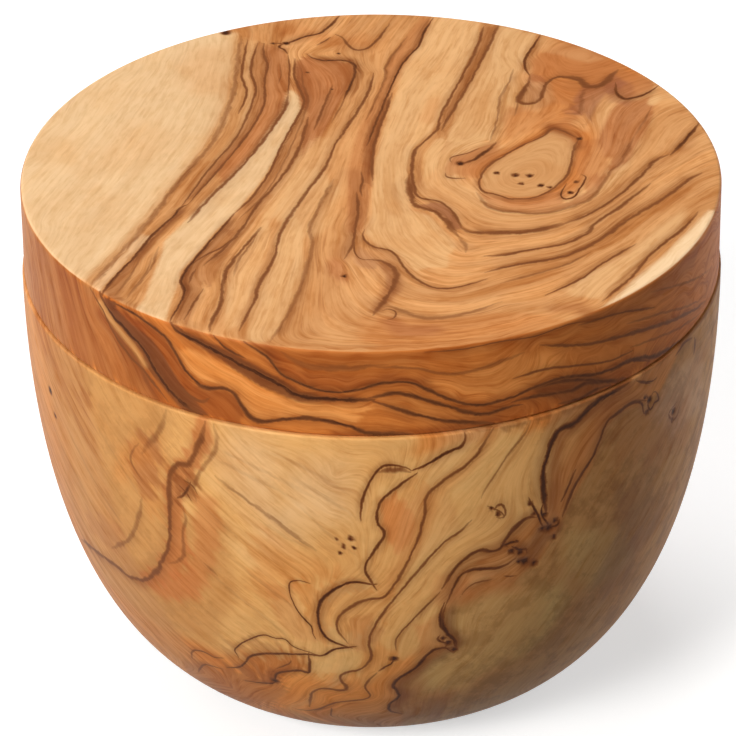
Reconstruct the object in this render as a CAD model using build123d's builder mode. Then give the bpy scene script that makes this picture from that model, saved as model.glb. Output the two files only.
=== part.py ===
"""Round wooden salt box whose thick lid swings sideways on a pin hidden in the rim.

Bowl and lid are turned from one log and share one axis. A steel pin, fixed in the lid, turns in
a brass sleeve let into the bowl's rim, and a pair of disc magnets across from it holds the lid shut.
Millimetres, +Z up, origin at the centre of the foot, pivot towards +Y.
"""

from build123d import *
import os

# Lid: a plain disc with a crisp top edge.
lid_diameter = 102.0
lid_thickness = 13.7
lid_top_round = 0.5
seam_round = 0.3

# Bowl, outside: straight down from the rim, then rolling under to a flat foot.
rim_step = 0.3  # the rim stands this far outside the lid
bowl_height = 65.6
foot_diameter = 51.0
rim_run = 33.6  # how far the wall's curve follows the vertical below the rim
foot_run = 19.1  # how far the curve follows the foot's rising slope
foot_slope = 18.4  # degrees above the table where the wall leaves the foot

# Bowl, inside.
rim_width = 12.0
floor_thickness = 9.0
cavity_side_run = 38.0
cavity_floor_run = 29.0
mouth_round = 1.0

# Seam: the lid rides on the sleeve's end, which keeps the wooden faces apart.
seam_gap = 0.2

# Pivot, midway across the rim.
pin_diameter = 5.0
pin_depth_in_lid = 9.0
pin_depth_in_bowl = 14.0
pin_chamfer = 0.4
pin_play = 0.05  # on the radius
sleeve_wall = 1.0
sleeve_chamfer = 0.25
pin_end_room = 1.0

# Magnets, facing each other across the seam.
magnet_diameter = 8.0
magnet_thickness = 3.0
magnet_chamfer = 0.3

# Places that follow from the sizes above.
lid_radius = lid_diameter / 2
lid_bottom = bowl_height + seam_gap
lid_top = lid_bottom + lid_thickness
rim_radius = lid_radius + rim_step
mouth_radius = rim_radius - rim_width
foot_radius = foot_diameter / 2
pivot_radius = (rim_radius + mouth_radius) / 2
pivot_spot = (0, pivot_radius)
magnet_spot = (0, -pivot_radius)
sleeve_bore_radius = pin_diameter / 2 + pin_play
sleeve_radius = sleeve_bore_radius + sleeve_wall
sleeve_depth = pin_depth_in_bowl + pin_end_room


def facing_down(spot, height):
    """A plane at that spot and height whose holes and extrusions run up from it."""
    return Plane(origin=(*spot, height), z_dir=(0, 0, -1))


# --- Bowl -------------------------------------------------------------------------------------
with BuildPart() as bowl:
    with BuildSketch(Plane.XZ):
        with BuildLine():
            foot = Line((0, 0), (foot_radius, 0))
            outside = Bezier(
                foot @ 1,
                foot @ 1 + Vector(foot_run, 0).rotate(Axis.Z, foot_slope),
                (rim_radius, bowl_height - rim_run),
                (rim_radius, bowl_height),
            )
            rim = Line(outside @ 1, (mouth_radius, bowl_height))
            inside = Bezier(
                rim @ 1,
                (mouth_radius, bowl_height - cavity_side_run),
                (cavity_floor_run, floor_thickness),
                (0, floor_thickness),
            )
            Line(inside @ 1, foot @ 0)
        make_face()
    revolve(axis=Axis.Z)

    rim_edges = bowl.edges().filter_by(GeomType.CIRCLE).group_by(Axis.Z)[-1].sort_by(SortBy.RADIUS)
    fillet(rim_edges[0], radius=mouth_round)
    fillet(rim_edges[-1], radius=seam_round)

    with Locations((*pivot_spot, bowl_height)):
        Hole(radius=sleeve_radius, depth=sleeve_depth)
    with Locations((*magnet_spot, bowl_height)):
        Hole(radius=magnet_diameter / 2, depth=magnet_thickness)
bowl.part.label = "bowl"

# --- Lid --------------------------------------------------------------------------------------
with BuildPart() as lid:
    with BuildSketch(Plane.XY.offset(lid_bottom)):
        Circle(radius=lid_radius)
    extrude(amount=lid_thickness)

    fillet(lid.edges().group_by(Axis.Z)[-1], radius=lid_top_round)
    fillet(lid.edges().group_by(Axis.Z)[0], radius=seam_round)

    with Locations(facing_down(pivot_spot, lid_bottom)):
        Hole(radius=pin_diameter / 2, depth=pin_depth_in_lid)
    with Locations(facing_down(magnet_spot, lid_bottom)):
        Hole(radius=magnet_diameter / 2, depth=magnet_thickness)
lid.part.label = "lid"

# --- Pivot sleeve: pressed into the rim, standing proud by the seam gap -----------------------
with BuildPart() as pivot_sleeve:
    with BuildSketch(Plane.XY.offset(bowl_height - sleeve_depth)):
        with Locations(pivot_spot):
            Circle(radius=sleeve_radius)
            Circle(radius=sleeve_bore_radius, mode=Mode.SUBTRACT)
    extrude(amount=sleeve_depth + seam_gap)
    sleeve_mouth = pivot_sleeve.edges().group_by(Axis.Z)[-1].sort_by(SortBy.RADIUS)[0]
    chamfer(sleeve_mouth, length=sleeve_chamfer)
pivot_sleeve.part.label = "pivot_sleeve"

# --- Pivot pin: fixed in the lid, turning in the sleeve ----------------------------------------
with BuildPart() as pivot_pin:
    with BuildSketch(Plane.XY.offset(bowl_height - pin_depth_in_bowl)):
        with Locations(pivot_spot):
            Circle(radius=pin_diameter / 2)
    extrude(amount=pin_depth_in_bowl + seam_gap + pin_depth_in_lid)
    chamfer(pivot_pin.edges().filter_by(GeomType.CIRCLE), length=pin_chamfer)
pivot_pin.part.label = "pivot_pin"

# --- Magnets, flush with the wood on each side of the seam -------------------------------------
with BuildPart() as bowl_magnet:
    with BuildSketch(Plane.XY.offset(bowl_height - magnet_thickness)):
        with Locations(magnet_spot):
            Circle(radius=magnet_diameter / 2)
    extrude(amount=magnet_thickness)
    chamfer(bowl_magnet.edges().filter_by(GeomType.CIRCLE), length=magnet_chamfer)
bowl_magnet.part.label = "bowl_magnet"

with BuildPart() as lid_magnet:
    with BuildSketch(Plane.XY.offset(lid_bottom)):
        with Locations(magnet_spot):
            Circle(radius=magnet_diameter / 2)
    extrude(amount=magnet_thickness)
    chamfer(lid_magnet.edges().filter_by(GeomType.CIRCLE), length=magnet_chamfer)
lid_magnet.part.label = "lid_magnet"

# --- One STEP file per piece -------------------------------------------------------------------
os.makedirs("parts", exist_ok=True)
for piece in (bowl, lid, pivot_sleeve, pivot_pin, bowl_magnet, lid_magnet):
    export_step(piece.part, f"parts/{piece.part.label}.step")
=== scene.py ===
"""Finish the turned salt keeper: olive wood for the bowl and its swing lid, metal for the hidden pivot.

The bowl and the lid are turned again with fine rings, so that the veins, patches and pits of the wood can
be laid on them stroke by stroke. Lengths are in millimetres until a mesh is made, and the frame is metres.
"""

import logging
import math
from collections.abc import Sequence
from dataclasses import dataclass, field
from enum import Enum
from typing import ClassVar

import bpy
import numpy as np
from mathutils import Matrix, Vector, noise
from mathutils.kdtree import KDTree


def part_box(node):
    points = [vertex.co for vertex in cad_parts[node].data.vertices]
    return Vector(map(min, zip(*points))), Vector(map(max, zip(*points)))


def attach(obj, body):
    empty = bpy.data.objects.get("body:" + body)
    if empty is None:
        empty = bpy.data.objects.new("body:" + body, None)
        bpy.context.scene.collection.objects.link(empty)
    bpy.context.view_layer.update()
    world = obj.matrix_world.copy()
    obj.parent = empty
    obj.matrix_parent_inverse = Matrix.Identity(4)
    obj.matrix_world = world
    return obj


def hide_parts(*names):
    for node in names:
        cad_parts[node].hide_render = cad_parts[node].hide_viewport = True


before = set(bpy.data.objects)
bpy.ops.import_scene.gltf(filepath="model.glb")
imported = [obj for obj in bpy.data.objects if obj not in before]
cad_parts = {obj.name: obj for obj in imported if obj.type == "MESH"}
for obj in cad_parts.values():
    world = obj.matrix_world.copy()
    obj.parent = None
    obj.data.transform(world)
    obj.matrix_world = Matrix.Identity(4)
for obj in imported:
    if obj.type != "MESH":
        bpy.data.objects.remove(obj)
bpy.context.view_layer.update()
MM = 0.001
log = logging.getLogger("salt_keeper")


class Ink(Enum):
    """How dark a vein is, from a hint in the wood to charcoal."""

    NONE = 0.0
    FAINT = 0.20
    SOFT = 0.42
    BROWN = 0.64
    DARK = 0.84
    BLACK = 0.97


class Tone(Enum):
    """Kinds of wood: sRGB from 0 to 255, then how calm and how mottled the grain is in them."""

    IVORY = (244, 208, 164, 0.8, 0.0)
    SAPWOOD = (231, 192, 145, 0.8, 0.1)
    STRAW = (226, 176, 122, 0.6, 0.0)
    HONEY = (219, 160, 104, 0.45, 0.0)
    TAN = (205, 146, 92, 0.1, 0.0)
    AMBER = (203, 128, 68, 0.0, 0.0)
    RUST = (184, 116, 70, 0.0, 0.0)
    UMBER = (160, 95, 52, 0.0, 0.3)
    BARK = (125, 72, 40, 0.0, 0.0)
    GOLD = (238, 186, 118, 0.72, 0.25)
    FOX = (208, 122, 54, 0.0, 0.0)
    CHESTNUT = (142, 66, 27, 0.0, 0.0)
    APRICOT = (240, 160, 86, 0.0, 0.0)
    MARIGOLD = (226, 146, 74, 0.0, 0.0)
    EMBER = (218, 130, 70, 0.5, 0.0)
    WHEAT = (213, 160, 106, 0.9, 0.0)
    OLIVE = (216, 178, 114, 0.7, 0.8)
    ROSE = (230, 186, 156, 0.7, 0.7)
    ASH = (188, 139, 85, 0.7, 1.0)
    SAND = (206, 145, 83, 0.85, 0.4)
    BLUSH = (206, 122, 66, 0.6, 0.0)
    PLUM = (152, 90, 66, 0.4, 0.0)
    CLAY = (190, 118, 66, 0.75, 0.0)

    @property
    def linear(self) -> np.ndarray:
        """The colour in linear light, as three numbers from 0 to 1."""
        share = np.array(self.value[:3]) / 255.0
        return np.where(share <= 0.04045, share / 12.92, ((share + 0.055) / 1.055) ** 2.4)

    @property
    def calm(self) -> float:
        """How far the grain's streaks fade, from 0 to 1."""
        return self.value[3]

    @property
    def mottle(self) -> float:
        """How strong the blotches are, from 0 to 1."""
        return self.value[4]


@dataclass(frozen=True)
class Stroke:
    """One vein: its ink, full width in mm, growth ring if it is one, and the points it runs through.

    A shade is the brown beside it: its reach in mm, negative on the left of its run, and its strength.
    """

    name: str
    ink: Ink
    width: float
    ring: float | None
    points: tuple[tuple[float, float], ...]
    shade: tuple[float, float] | None = None


@dataclass(frozen=True)
class Wash:
    """One soft patch of colour: reach in mm on each side of its line, strength, and the line."""

    name: str
    tone: Tone
    reach: float
    strength: float
    points: tuple[tuple[float, float], ...]


@dataclass(frozen=True)
class Patch:
    """One area of colour: strength, width of its soft edge in mm, and its outline."""

    name: str
    tone: Tone
    strength: float
    feather: float
    outline: tuple[tuple[float, float], ...]


@dataclass(frozen=True)
class Pit:
    """One small knot or pit: its place, radius and depth in mm."""

    name: str
    spot: tuple[float, float]
    radius: float
    depth: float


LID_TOP = (
    Stroke("sapwood edge", Ink.SOFT, 1.6, -27.3, ((-19.6, 43.5), (-20.9, 22), (-23.2, 10), (-28.9, -5),
        (-31.6, -13.5), (-39.3, -32.2)), (-1.2, 0.35)),
    Stroke("second left", Ink.BROWN, 0.8, -25, ((-18.6, 42.5), (-19.3, 31.5), (-18.5, 24.5), (-19.6, 18.5))),
    Stroke("left twin", Ink.BROWN, 0.7, -24, ((-17, 41.5), (-17.9, 34.5), (-17.9, 31.5), (-17.1, 26.5),
        (-17.4, 23), (-18.9, 14.5), (-20.7, 8.2), (-22.8, 3.3), (-27.3, -9.8)), (1.2, 0.5)),
    Stroke("left main upper", Ink.BROWN, 0.7, -22.9, ((-16.1, 41.5), (-16.1, 38), (-15.4, 33.5), (-15.8, 30),
        (-15.8, 22), (-16.3, 18.8), (-18.8, 10), (-26.3, -9)), (1.3, 0.6)),
    Stroke("left main lower", Ink.DARK, 0.9, -22.9, ((-26.3, -9), (-27.6, -10.5), (-28.3, -12.5),
        (-30.9, -17.5), (-34, -25.5), (-36.3, -30.5), (-37.8, -35)), (-2, 0.7)),
    Stroke("cream left", Ink.BROWN, 1.12, -19.8, ((-12.3, 24), (-12.7, 20), (-17.6, 5), (-24, -9),
        (-26.2, -14.5)), (1.8, 0.6)),
    Stroke("cream right upper", Ink.BROWN, 0.8, -14.8, ((-11.3, 36), (-11.3, 30), (-9.9, 22.5), (-10.1, 20),
        (-12.8, 9.5), (-14.8, 0), (-17.3, -7.5), (-19.6, -12)), (-2.2, 0.65)),
    Stroke("cream right lower", Ink.DARK, 0.9, -14.8, ((-19.6, -12), (-26.2, -28.5), (-26.7, -31),
        (-26.2, -34.5), (-28, -42.5)), (-2.4, 0.7)),
    Stroke("beside cream line", Ink.SOFT, 0.7, None, ((-10.3, 33), (-10, 27.4), (-9.2, 22.4), (-9.7, 18.2),
        (-14.8, -4.8), (-19, -13.8))),
    Stroke("beside cream low", Ink.BROWN, 0.7, None, ((-17.4, -13.2), (-19, -18), (-21, -21.4),
        (-23.8, -24.4), (-26, -27.6))),
    Stroke("far left fan", Ink.SOFT, 0.7, None, ((-31, -24.6), (-31.5, -27.6), (-32.4, -31),
        (-34.2, -35.4))),
    Stroke("spine right", Ink.FAINT, 0.8, None, ((-0.6, -3), (-0.6, -11.4), (-1.1, -18.4))),
    Stroke("seventh", Ink.BROWN, 1, -12.6, ((-9.2, 17), (-10.6, 7), (-13.9, -4), (-16.2, -9), (-19, -18),
        (-23.6, -26.8)), (-1.8, 0.55)),
    Stroke("eighth", Ink.BROWN, 1, -7.1, ((0.6, 31), (-0.1, 25.5), (-1.6, 19.5), (-5, 9), (-6.6, 1.5),
        (-9.3, -6), (-13, -18), (-13.8, -25), (-16.1, -34), (-16.2, -36), (-18.3, -45)), (1.6, 0.5)),
    Stroke("dome", Ink.DARK, 1, -9, ((-9.4, 37.3), (-8.6, 36.2), (-7, 35.4), (-3.4, 35.1), (-2.5, 34.2),
        (-2.2, 32.5), (-2.3, 30), (-3.9, 22.5)), (-2.2, 0.7)),
    Stroke("tenth", Ink.BROWN, 0.9, -11, ((-5.6, 27), (-8.3, 13)), (-1.6, 0.5)),
    Stroke("dome streak", Ink.SOFT, 0.7, None, ((-3.4, 25), (-4.2, 21), (-5, 18), (-5.8, 15))),
    Stroke("core seam short", Ink.SOFT, 0.6, None, ((-13.6, 34.4), (-13.4, 31), (-13.8, 27.6))),
    Stroke("core seam long", Ink.BROWN, 0.6, None, ((-12.4, 37.4), (-12.1, 33), (-12.2, 28), (-12.3, 24))),
    Stroke("back stroke", Ink.DARK, 0.9, None, ((-14.7, 41.2), (-12.7, 41.2), (-9.5, 43.5), (-7.5, 44.5),
        (-6.2, 46.5), (-4.5, 50.3)), (-1.6, 0.5)),
    Stroke("back hook", Ink.DARK, 0.8, None, ((-12.7, 41.2), (-13.8, 40), (-13, 39), (-12.4, 37.5))),
    Stroke("middle main", Ink.DARK, 0.7, -1.5, ((10, 49.3), (8.6, 45), (7.4, 39.5), (5.6, 35.5), (4.2, 31),
        (-0.5, 8)), (2.2, 0.6)),
    Stroke("middle right", Ink.BROWN, 0.88, 0.2, ((3.3, 24.5), (0.5, 7), (0.2, -3)), (2.4, 0.6)),
    Stroke("middle left", Ink.SOFT, 0.9, -3, ((5.8, 43), (2.4, 33), (2.4, 30), (-0.6, 16)), (-2, 0.4)),
    Stroke("back u", Ink.BROWN, 0.8, None, ((-5.2, 44), (-4.2, 43), (-2.8, 39.5), (-1.8, 38.6), (-0.6, 38.9),
        (0.4, 40.2), (1.4, 42.3), (3.2, 47.5))),
    Stroke("right double left", Ink.BROWN, 1, 6, ((17.6, 46), (16.7, 40), (10.3, 16), (9.9, 12.8),
        (7.6, 8.6), (6.3, 5), (6.6, -7.2), (7.5, -8.2), (10, -9.2), (10.9, -10.5), (11.6, -12),
        (12.9, -17)), (1.4, 0.45)),
    Stroke("right double right", Ink.BROWN, 1, 7.2, ((20, 46.5), (16, 31), (10.5, 12.5)), (1.5, 0.5)),
    Stroke("contour outer", Ink.BROWN, 1.9, 5.3, ((5.7, -1), (5.6, -5), (6.1, -9), (6.6, -10.5),
        (9.3, -12.3), (12.3, -19.3)), (-1.6, 0.6)),
    Stroke("contour tail", Ink.SOFT, 1.4, 5, ((12.3, -19.3), (13, -21), (13.4, -22.5), (13.3, -24))),
    Stroke("sweep bold", Ink.BROWN, 1.7, 6, ((12.9, -17), (13.8, -18), (15.2, -18.3), (22, -18.3),
        (24, -17.7), (27.5, -16)), (-2, 0.55)),
    Stroke("sweep main", Ink.BROWN, 1.12, 6, ((27.5, -16), (30, -14.2), (33, -11.4), (39, -2.6), (41, 1.5),
        (42.2, 3.2), (43.6, 4.2)), (-2.2, 0.55)),
    Stroke("sweep end", Ink.DARK, 1, 6, ((43.9, 4.2), (46.9, 9.8), (48.7, 14)), (-1.8, 0.5)),
    Stroke("sweep two", Ink.BROWN, 1.12, 3.5, ((16, -25.1), (19.6, -24.6), (21, -23.9), (25, -22.8),
        (27, -22), (29.5, -20.2), (31, -18.3), (32, -15.9), (35, -12.2), (40.4, -4.5)), (-2.2, 0.55)),
    Stroke("sweep three", Ink.BROWN, 1.25, 0.8, ((16, -29.6), (20, -27.8), (26, -26), (28, -24.8),
        (31.8, -21.5), (37, -14.6), (42, -9), (46.5, -3), (48, -1.5)), (-2.6, 0.55)),
    Stroke("front seven", Ink.BROWN, 0.8, -2.5, ((24, -36.4), (29.2, -31.8), (31.8, -28.4),
        (37.5, -22)), (-2, 0.5)),
    Stroke("front eight", Ink.BROWN, 1, -5, ((32, -38), (35.6, -32.6), (40.2, -23.8), (44.6, -17.5),
        (46.8, -13)), (-2.2, 0.55)),
    Stroke("front nine", Ink.SOFT, 0.9, -0.8, ((18, -32.8), (27.5, -27.6), (31, -24.2)), (-1.6, 0.45)),
    Stroke("front ten", Ink.BROWN, 0.8, 0.2, ((-1, -17), (-1.2, -19), (-0.8, -20.5), (0, -21.8),
        (2.6, -23.3), (3.4, -24.6), (5.2, -29.7), (7, -32.4), (8.3, -33.6), (9.8, -34.1), (11.4, -34),
        (16.2, -31.6)), (1.6, 0.5)),
    Stroke("hook", Ink.BROWN, 1.6, None, ((0.2, -41), (2.8, -33.8), (3.3, -31.6), (3.3, -29.6), (2.9, -28.2),
        (2.1, -27), (0.9, -26), (-0.4, -25.7)), (1.4, 0.5)),
    Stroke("spine", Ink.BROWN, 0.9, -2.1, ((-2.1, -6), (-1.9, -12), (-2.6, -20), (-2.8, -22),
        (-3.9, -25.5)), (1.5, 0.5)),
    Stroke("spine top", Ink.BROWN, 0.8, None, ((-1.4, 0), (-1.2, -2.5), (-1.5, -5), (-1.3, -7.4))),
    Stroke("squiggle", Ink.BROWN, 0.5, None, ((-2.6, -19.5), (-2.2, -24.5), (-1.4, -25.6), (-0.2, -25.8),
        (0.8, -25.3))),
    Stroke("front thirteen", Ink.SOFT, 1.5, -2.5, ((1.2, -38.9), (2.4, -38.9), (6.6, -41.9), (9.4, -42.1),
        (14.2, -40.3), (17.8, -38)), (1.8, 0.5)),
    Stroke("low left a", Ink.SOFT, 0.8, -20.8, ((-30.2, -21.5), (-31, -27), (-34.2, -36)), (1.4, 0.4)),
    Stroke("low left b", Ink.SOFT, 0.8, -21.9, ((-32.6, -24), (-34, -30), (-35.8, -35)), (1.4, 0.4)),
    Stroke("low left c", Ink.BROWN, 0.8, -13.6, ((-23.6, -33.5), (-24.3, -36), (-25.2, -39),
        (-26, -42)), (1.2, 0.4)),
    Stroke("low left d", Ink.BROWN, 0.8, None, ((-24.8, -28), (-25.3, -30), (-25.6, -32))),
    Stroke("low left e", Ink.BROWN, 1.2, None, ((-15.8, -16.2), (-20.3, -28), (-20.8, -31), (-21, -37),
        (-22.3, -43), (-22.4, -45)), (-1.6, 0.5)),
    Stroke("low left f", Ink.SOFT, 1, -9.5, ((-16.2, -18), (-17.5, -22), (-18.9, -26),
        (-19.4, -30)), (1.4, 0.4)),
    Stroke("low mid", Ink.SOFT, 1.2, None, ((-5.4, -2.2), (-8, -12.4), (-8.8, -17), (-8.4, -21),
        (-10.5, -35.5), (-12, -42), (-14, -48)), (-2.4, 0.5)),
    Stroke("teardrop", Ink.BROWN, 0.8, 12, ((30.8, 9.5), (30, 7), (28.6, -1.5), (27.6, -3.6), (25.4, -6.7),
        (24, -8), (22.6, -8.5), (21, -8.6), (19.8, -8.4), (17.6, -6.9), (16.5, -6.5), (15.8, -5.3),
        (15.7, -3.5), (16.5, 0), (17.4, 1.8), (22.6, 7.8), (25.4, 10.3), (27.2, 12.6),
        (30.8, 9.5)), (-1.4, 0.55)),
    Stroke("teardrop shade", Ink.SOFT, 1.2, 9, ((15.2, -6.5), (17, -11), (18.4, -12), (20.5, -12.5),
        (23, -12.9), (25.5, -12.7), (30.5, -9.8), (32, -8.2), (35, -0.5), (36.3, 1.5),
        (38.9, 10)), (-1.8, 0.4)),
    Stroke("small eye right", Ink.DARK, 0.6, None, ((28.4, -4), (27.4, -7.6), (27.9, -8.8), (29.2, -8.2),
        (30, -6.2), (31.2, -2.2), (30.6, -1.4))),
    Stroke("small eye left streak", Ink.DARK, 1.2, None, ((12.8, 2), (14.6, 2.9), (17.3, 6.3), (18.4, 8.3))),
    Stroke("small eye left base", Ink.BROWN, 0.7, None, ((10.8, -0.6), (11, -1.6), (12.2, -2.2),
        (13.8, -2.2))),
    Stroke("small eye left top", Ink.BROWN, 0.6, None, ((11.8, 2.4), (11.7, 3.9), (14.4, 5.5), (16, 6.9))),
    Stroke("back right edge", Ink.DARK, 0.8, 11.5, ((26.2, 43), (23.5, 33.5), (24.2, 29.5)), (-1.4, 0.5)),
    Stroke("back right loop", Ink.BROWN, 1.3, None, ((24.2, 29.5), (23.8, 27), (22.2, 21.5), (23.2, 20.6),
        (24.6, 21), (25.6, 22.6), (26.6, 27), (27.4, 28.4), (28.8, 29.2), (32.4, 27.2),
        (33.2, 26)), (-1.2, 0.5)),
    Stroke("back right smile", Ink.DARK, 1, None, ((37, 27), (37, 23.8), (38.2, 21.8), (40.2, 22.6),
        (41.8, 23.8), (43.4, 26.2)), (1.6, 0.5)),
    Stroke("back right fork", Ink.BROWN, 2, None, ((29.4, 29.4), (31.4, 28.6), (32.6, 25.8), (34.6, 26.2),
        (37.4, 31)), (-1.8, 0.6)),
    Stroke("fork down", Ink.SOFT, 1.6, None, ((32.6, 25.8), (31.8, 23.4), (31, 17.4), (29.4, 17.4))),
    Stroke("fork down right", Ink.FAINT, 1.6, None, ((33, 25), (33.4, 21.4), (33, 17.4), (31.8, 13.4))),
    Stroke("back right soft", Ink.SOFT, 0.8, 9, ((21.8, 32), (21.2, 28.5), (19.5, 22.5), (18.9, 16),
        (17.6, 9)), (-2, 0.4)),
    Stroke("loop line", Ink.SOFT, 0.7, None, ((22.4, 24), (22, 20), (21.4, 16.6))),
    Stroke("red line", Ink.SOFT, 0.8, None, ((38.9, 10), (40, 13), (41, 16), (42, 19.4))),
    Stroke("hook loop", Ink.BROWN, 0.5, None, ((1.2, -40.2), (2.2, -39.6), (3.2, -40.4), (3, -42),
        (2, -42.6))),
    Stroke("back dash", Ink.BROWN, 0.7, None, ((-8, 40.3), (-6.8, 41.8), (-5.8, 43.2))),
)

LID_SIDE = (
    Stroke("lid black", Ink.BLACK, 1.4, -22.9, ((-48.3, 79.3), (-45.2, 76.8), (-39, 73.8), (-36.6, 71),
        (-33.4, 68.2), (-30, 66.4), (-28, 66)), (-2.2, 0.7)),
    Stroke("lid second", Ink.BLACK, 1.3, -14.8, ((-33.3, 79.4), (-31.5, 78.3), (-29.5, 78), (-20.5, 75.5),
        (-14.5, 73.3), (-12.5, 72.2), (-8, 71.7), (0, 71.8)), (-1.6, 0.7)),
    Stroke("lid split low", Ink.DARK, 0.8, -14.4, ((0, 71.6), (8, 68.6), (19, 66)), (1.2, 0.5)),
    Stroke("lid split high", Ink.DARK, 0.9, -12.6, ((-1, 72), (3, 72.7), (5, 72.5), (16.5, 68), (18, 67.8),
        (22, 68.2), (24, 68)), (-1.4, 0.5)),
    Stroke("lid hump", Ink.DARK, 0.9, -19, ((-46, 78.8), (-42, 78.9), (-36.5, 77.8), (-35, 77.2),
        (-33.7, 76.5), (-30.6, 72.5), (-29, 71.4), (-27.5, 70.6), (-23.6, 71.3), (-22.2, 70.8),
        (-19.6, 67.4), (-18, 67), (-10, 68.4), (-4, 67.5), (-0.5, 66.3), (6, 66)), (-1, 0.5)),
    Stroke("lid dash", Ink.DARK, 0.8, -9, ((-25.5, 79.3), (-23, 77.6), (-20, 76.7))),
    Stroke("lid wave", Ink.DARK, 0.8, -7.1, ((-20.5, 79.4), (-16.5, 77.6), (-14.4, 75.2), (-9, 73.2),
        (-6, 72.9), (-3, 73.2), (1.5, 74.4), (4, 74.5), (6, 74.2), (12, 71), (17, 69.4), (29, 70.6),
        (32, 70.4), (38, 69), (44, 68.7), (47, 68), (50, 66.6)), (-1.8, 0.6)),
    Stroke("lid low right", Ink.DARK, 1, -8.8, ((22, 68.9), (27, 68.8), (33, 68), (36, 68.2), (42, 66.4),
        (44, 66.1)), (-1.5, 0.6)),
    Stroke("lid right line", Ink.BROWN, 0.9, -7.5, ((27, 76.9), (36, 74.5), (45, 73),
        (70.4, 67.2)), (-1.6, 0.5)),
    Stroke("lid right top", Ink.BROWN, 0.7, -6.9, ((34, 78.2), (42, 77.4), (51, 75)), (-1.4, 0.5)),
    Stroke("lid rim thin", Ink.BROWN, 0.4, None, ((8, 79), (14, 78.8), (20, 79), (26, 78.6), (32, 78.9),
        (36, 78.2))),
    Stroke("lid soft band", Ink.SOFT, 1.6, None, ((-14, 78.5), (-12.5, 77.5), (-10, 76.8), (-6, 76.6),
        (2, 77.3)), (-1.4, 0.4)),
    Stroke("lid soft right", Ink.SOFT, 1, None, ((0, 77), (6, 76.6), (13, 75), (24, 76.4))),
    Stroke("lid left soft", Ink.SOFT, 1.6, -25, ((-48, 76), (-46, 75), (-40, 71), (-37.5, 67.5),
        (-36, 66.2))),
    Stroke("lid inner", Ink.BROWN, 0.8, None, ((-33, 70), (-29, 68.3), (-27.5, 68.3), (-26.5, 69))),
    Stroke("left line", Ink.BROWN, 0.8, None, ((-50.8, 79.2), (-47.6, 76.8), (-45.6, 74.4), (-42, 71.6),
        (-38.8, 70), (-34, 66.4))),
    Stroke("right seam line", Ink.DARK, 0.9, None, ((40.4, 68.4), (44, 68.7), (48, 68), (51.2, 66.8),
        (60, 65.8))),
    Stroke("bark line", Ink.DARK, 0.9, None, ((26, 70), (30.4, 70.1), (35.6, 68.8), (42.4, 66))),
    Stroke("bark line low", Ink.DARK, 0.7, None, ((30.4, 66.5), (34.8, 66.2), (38, 66.6), (40.8, 66.1))),
    Stroke("right fine one", Ink.SOFT, 0.7, -7.3, ((44, 75), (52, 73.4), (60, 71), (68, 68.6))),
    Stroke("right fine two", Ink.SOFT, 0.7, None, ((45, 70.8), (52, 69.6), (60, 67.9), (68, 66.6))),
    Stroke("right fine three", Ink.SOFT, 0.8, -6.7, ((50, 77.8), (58, 75.6), (66, 73.2), (76, 70.6))),
    Stroke("right fine four", Ink.BROWN, 0.6, None, ((22, 72.6), (28, 72.8), (40, 70.4), (46, 70))),
)

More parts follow.
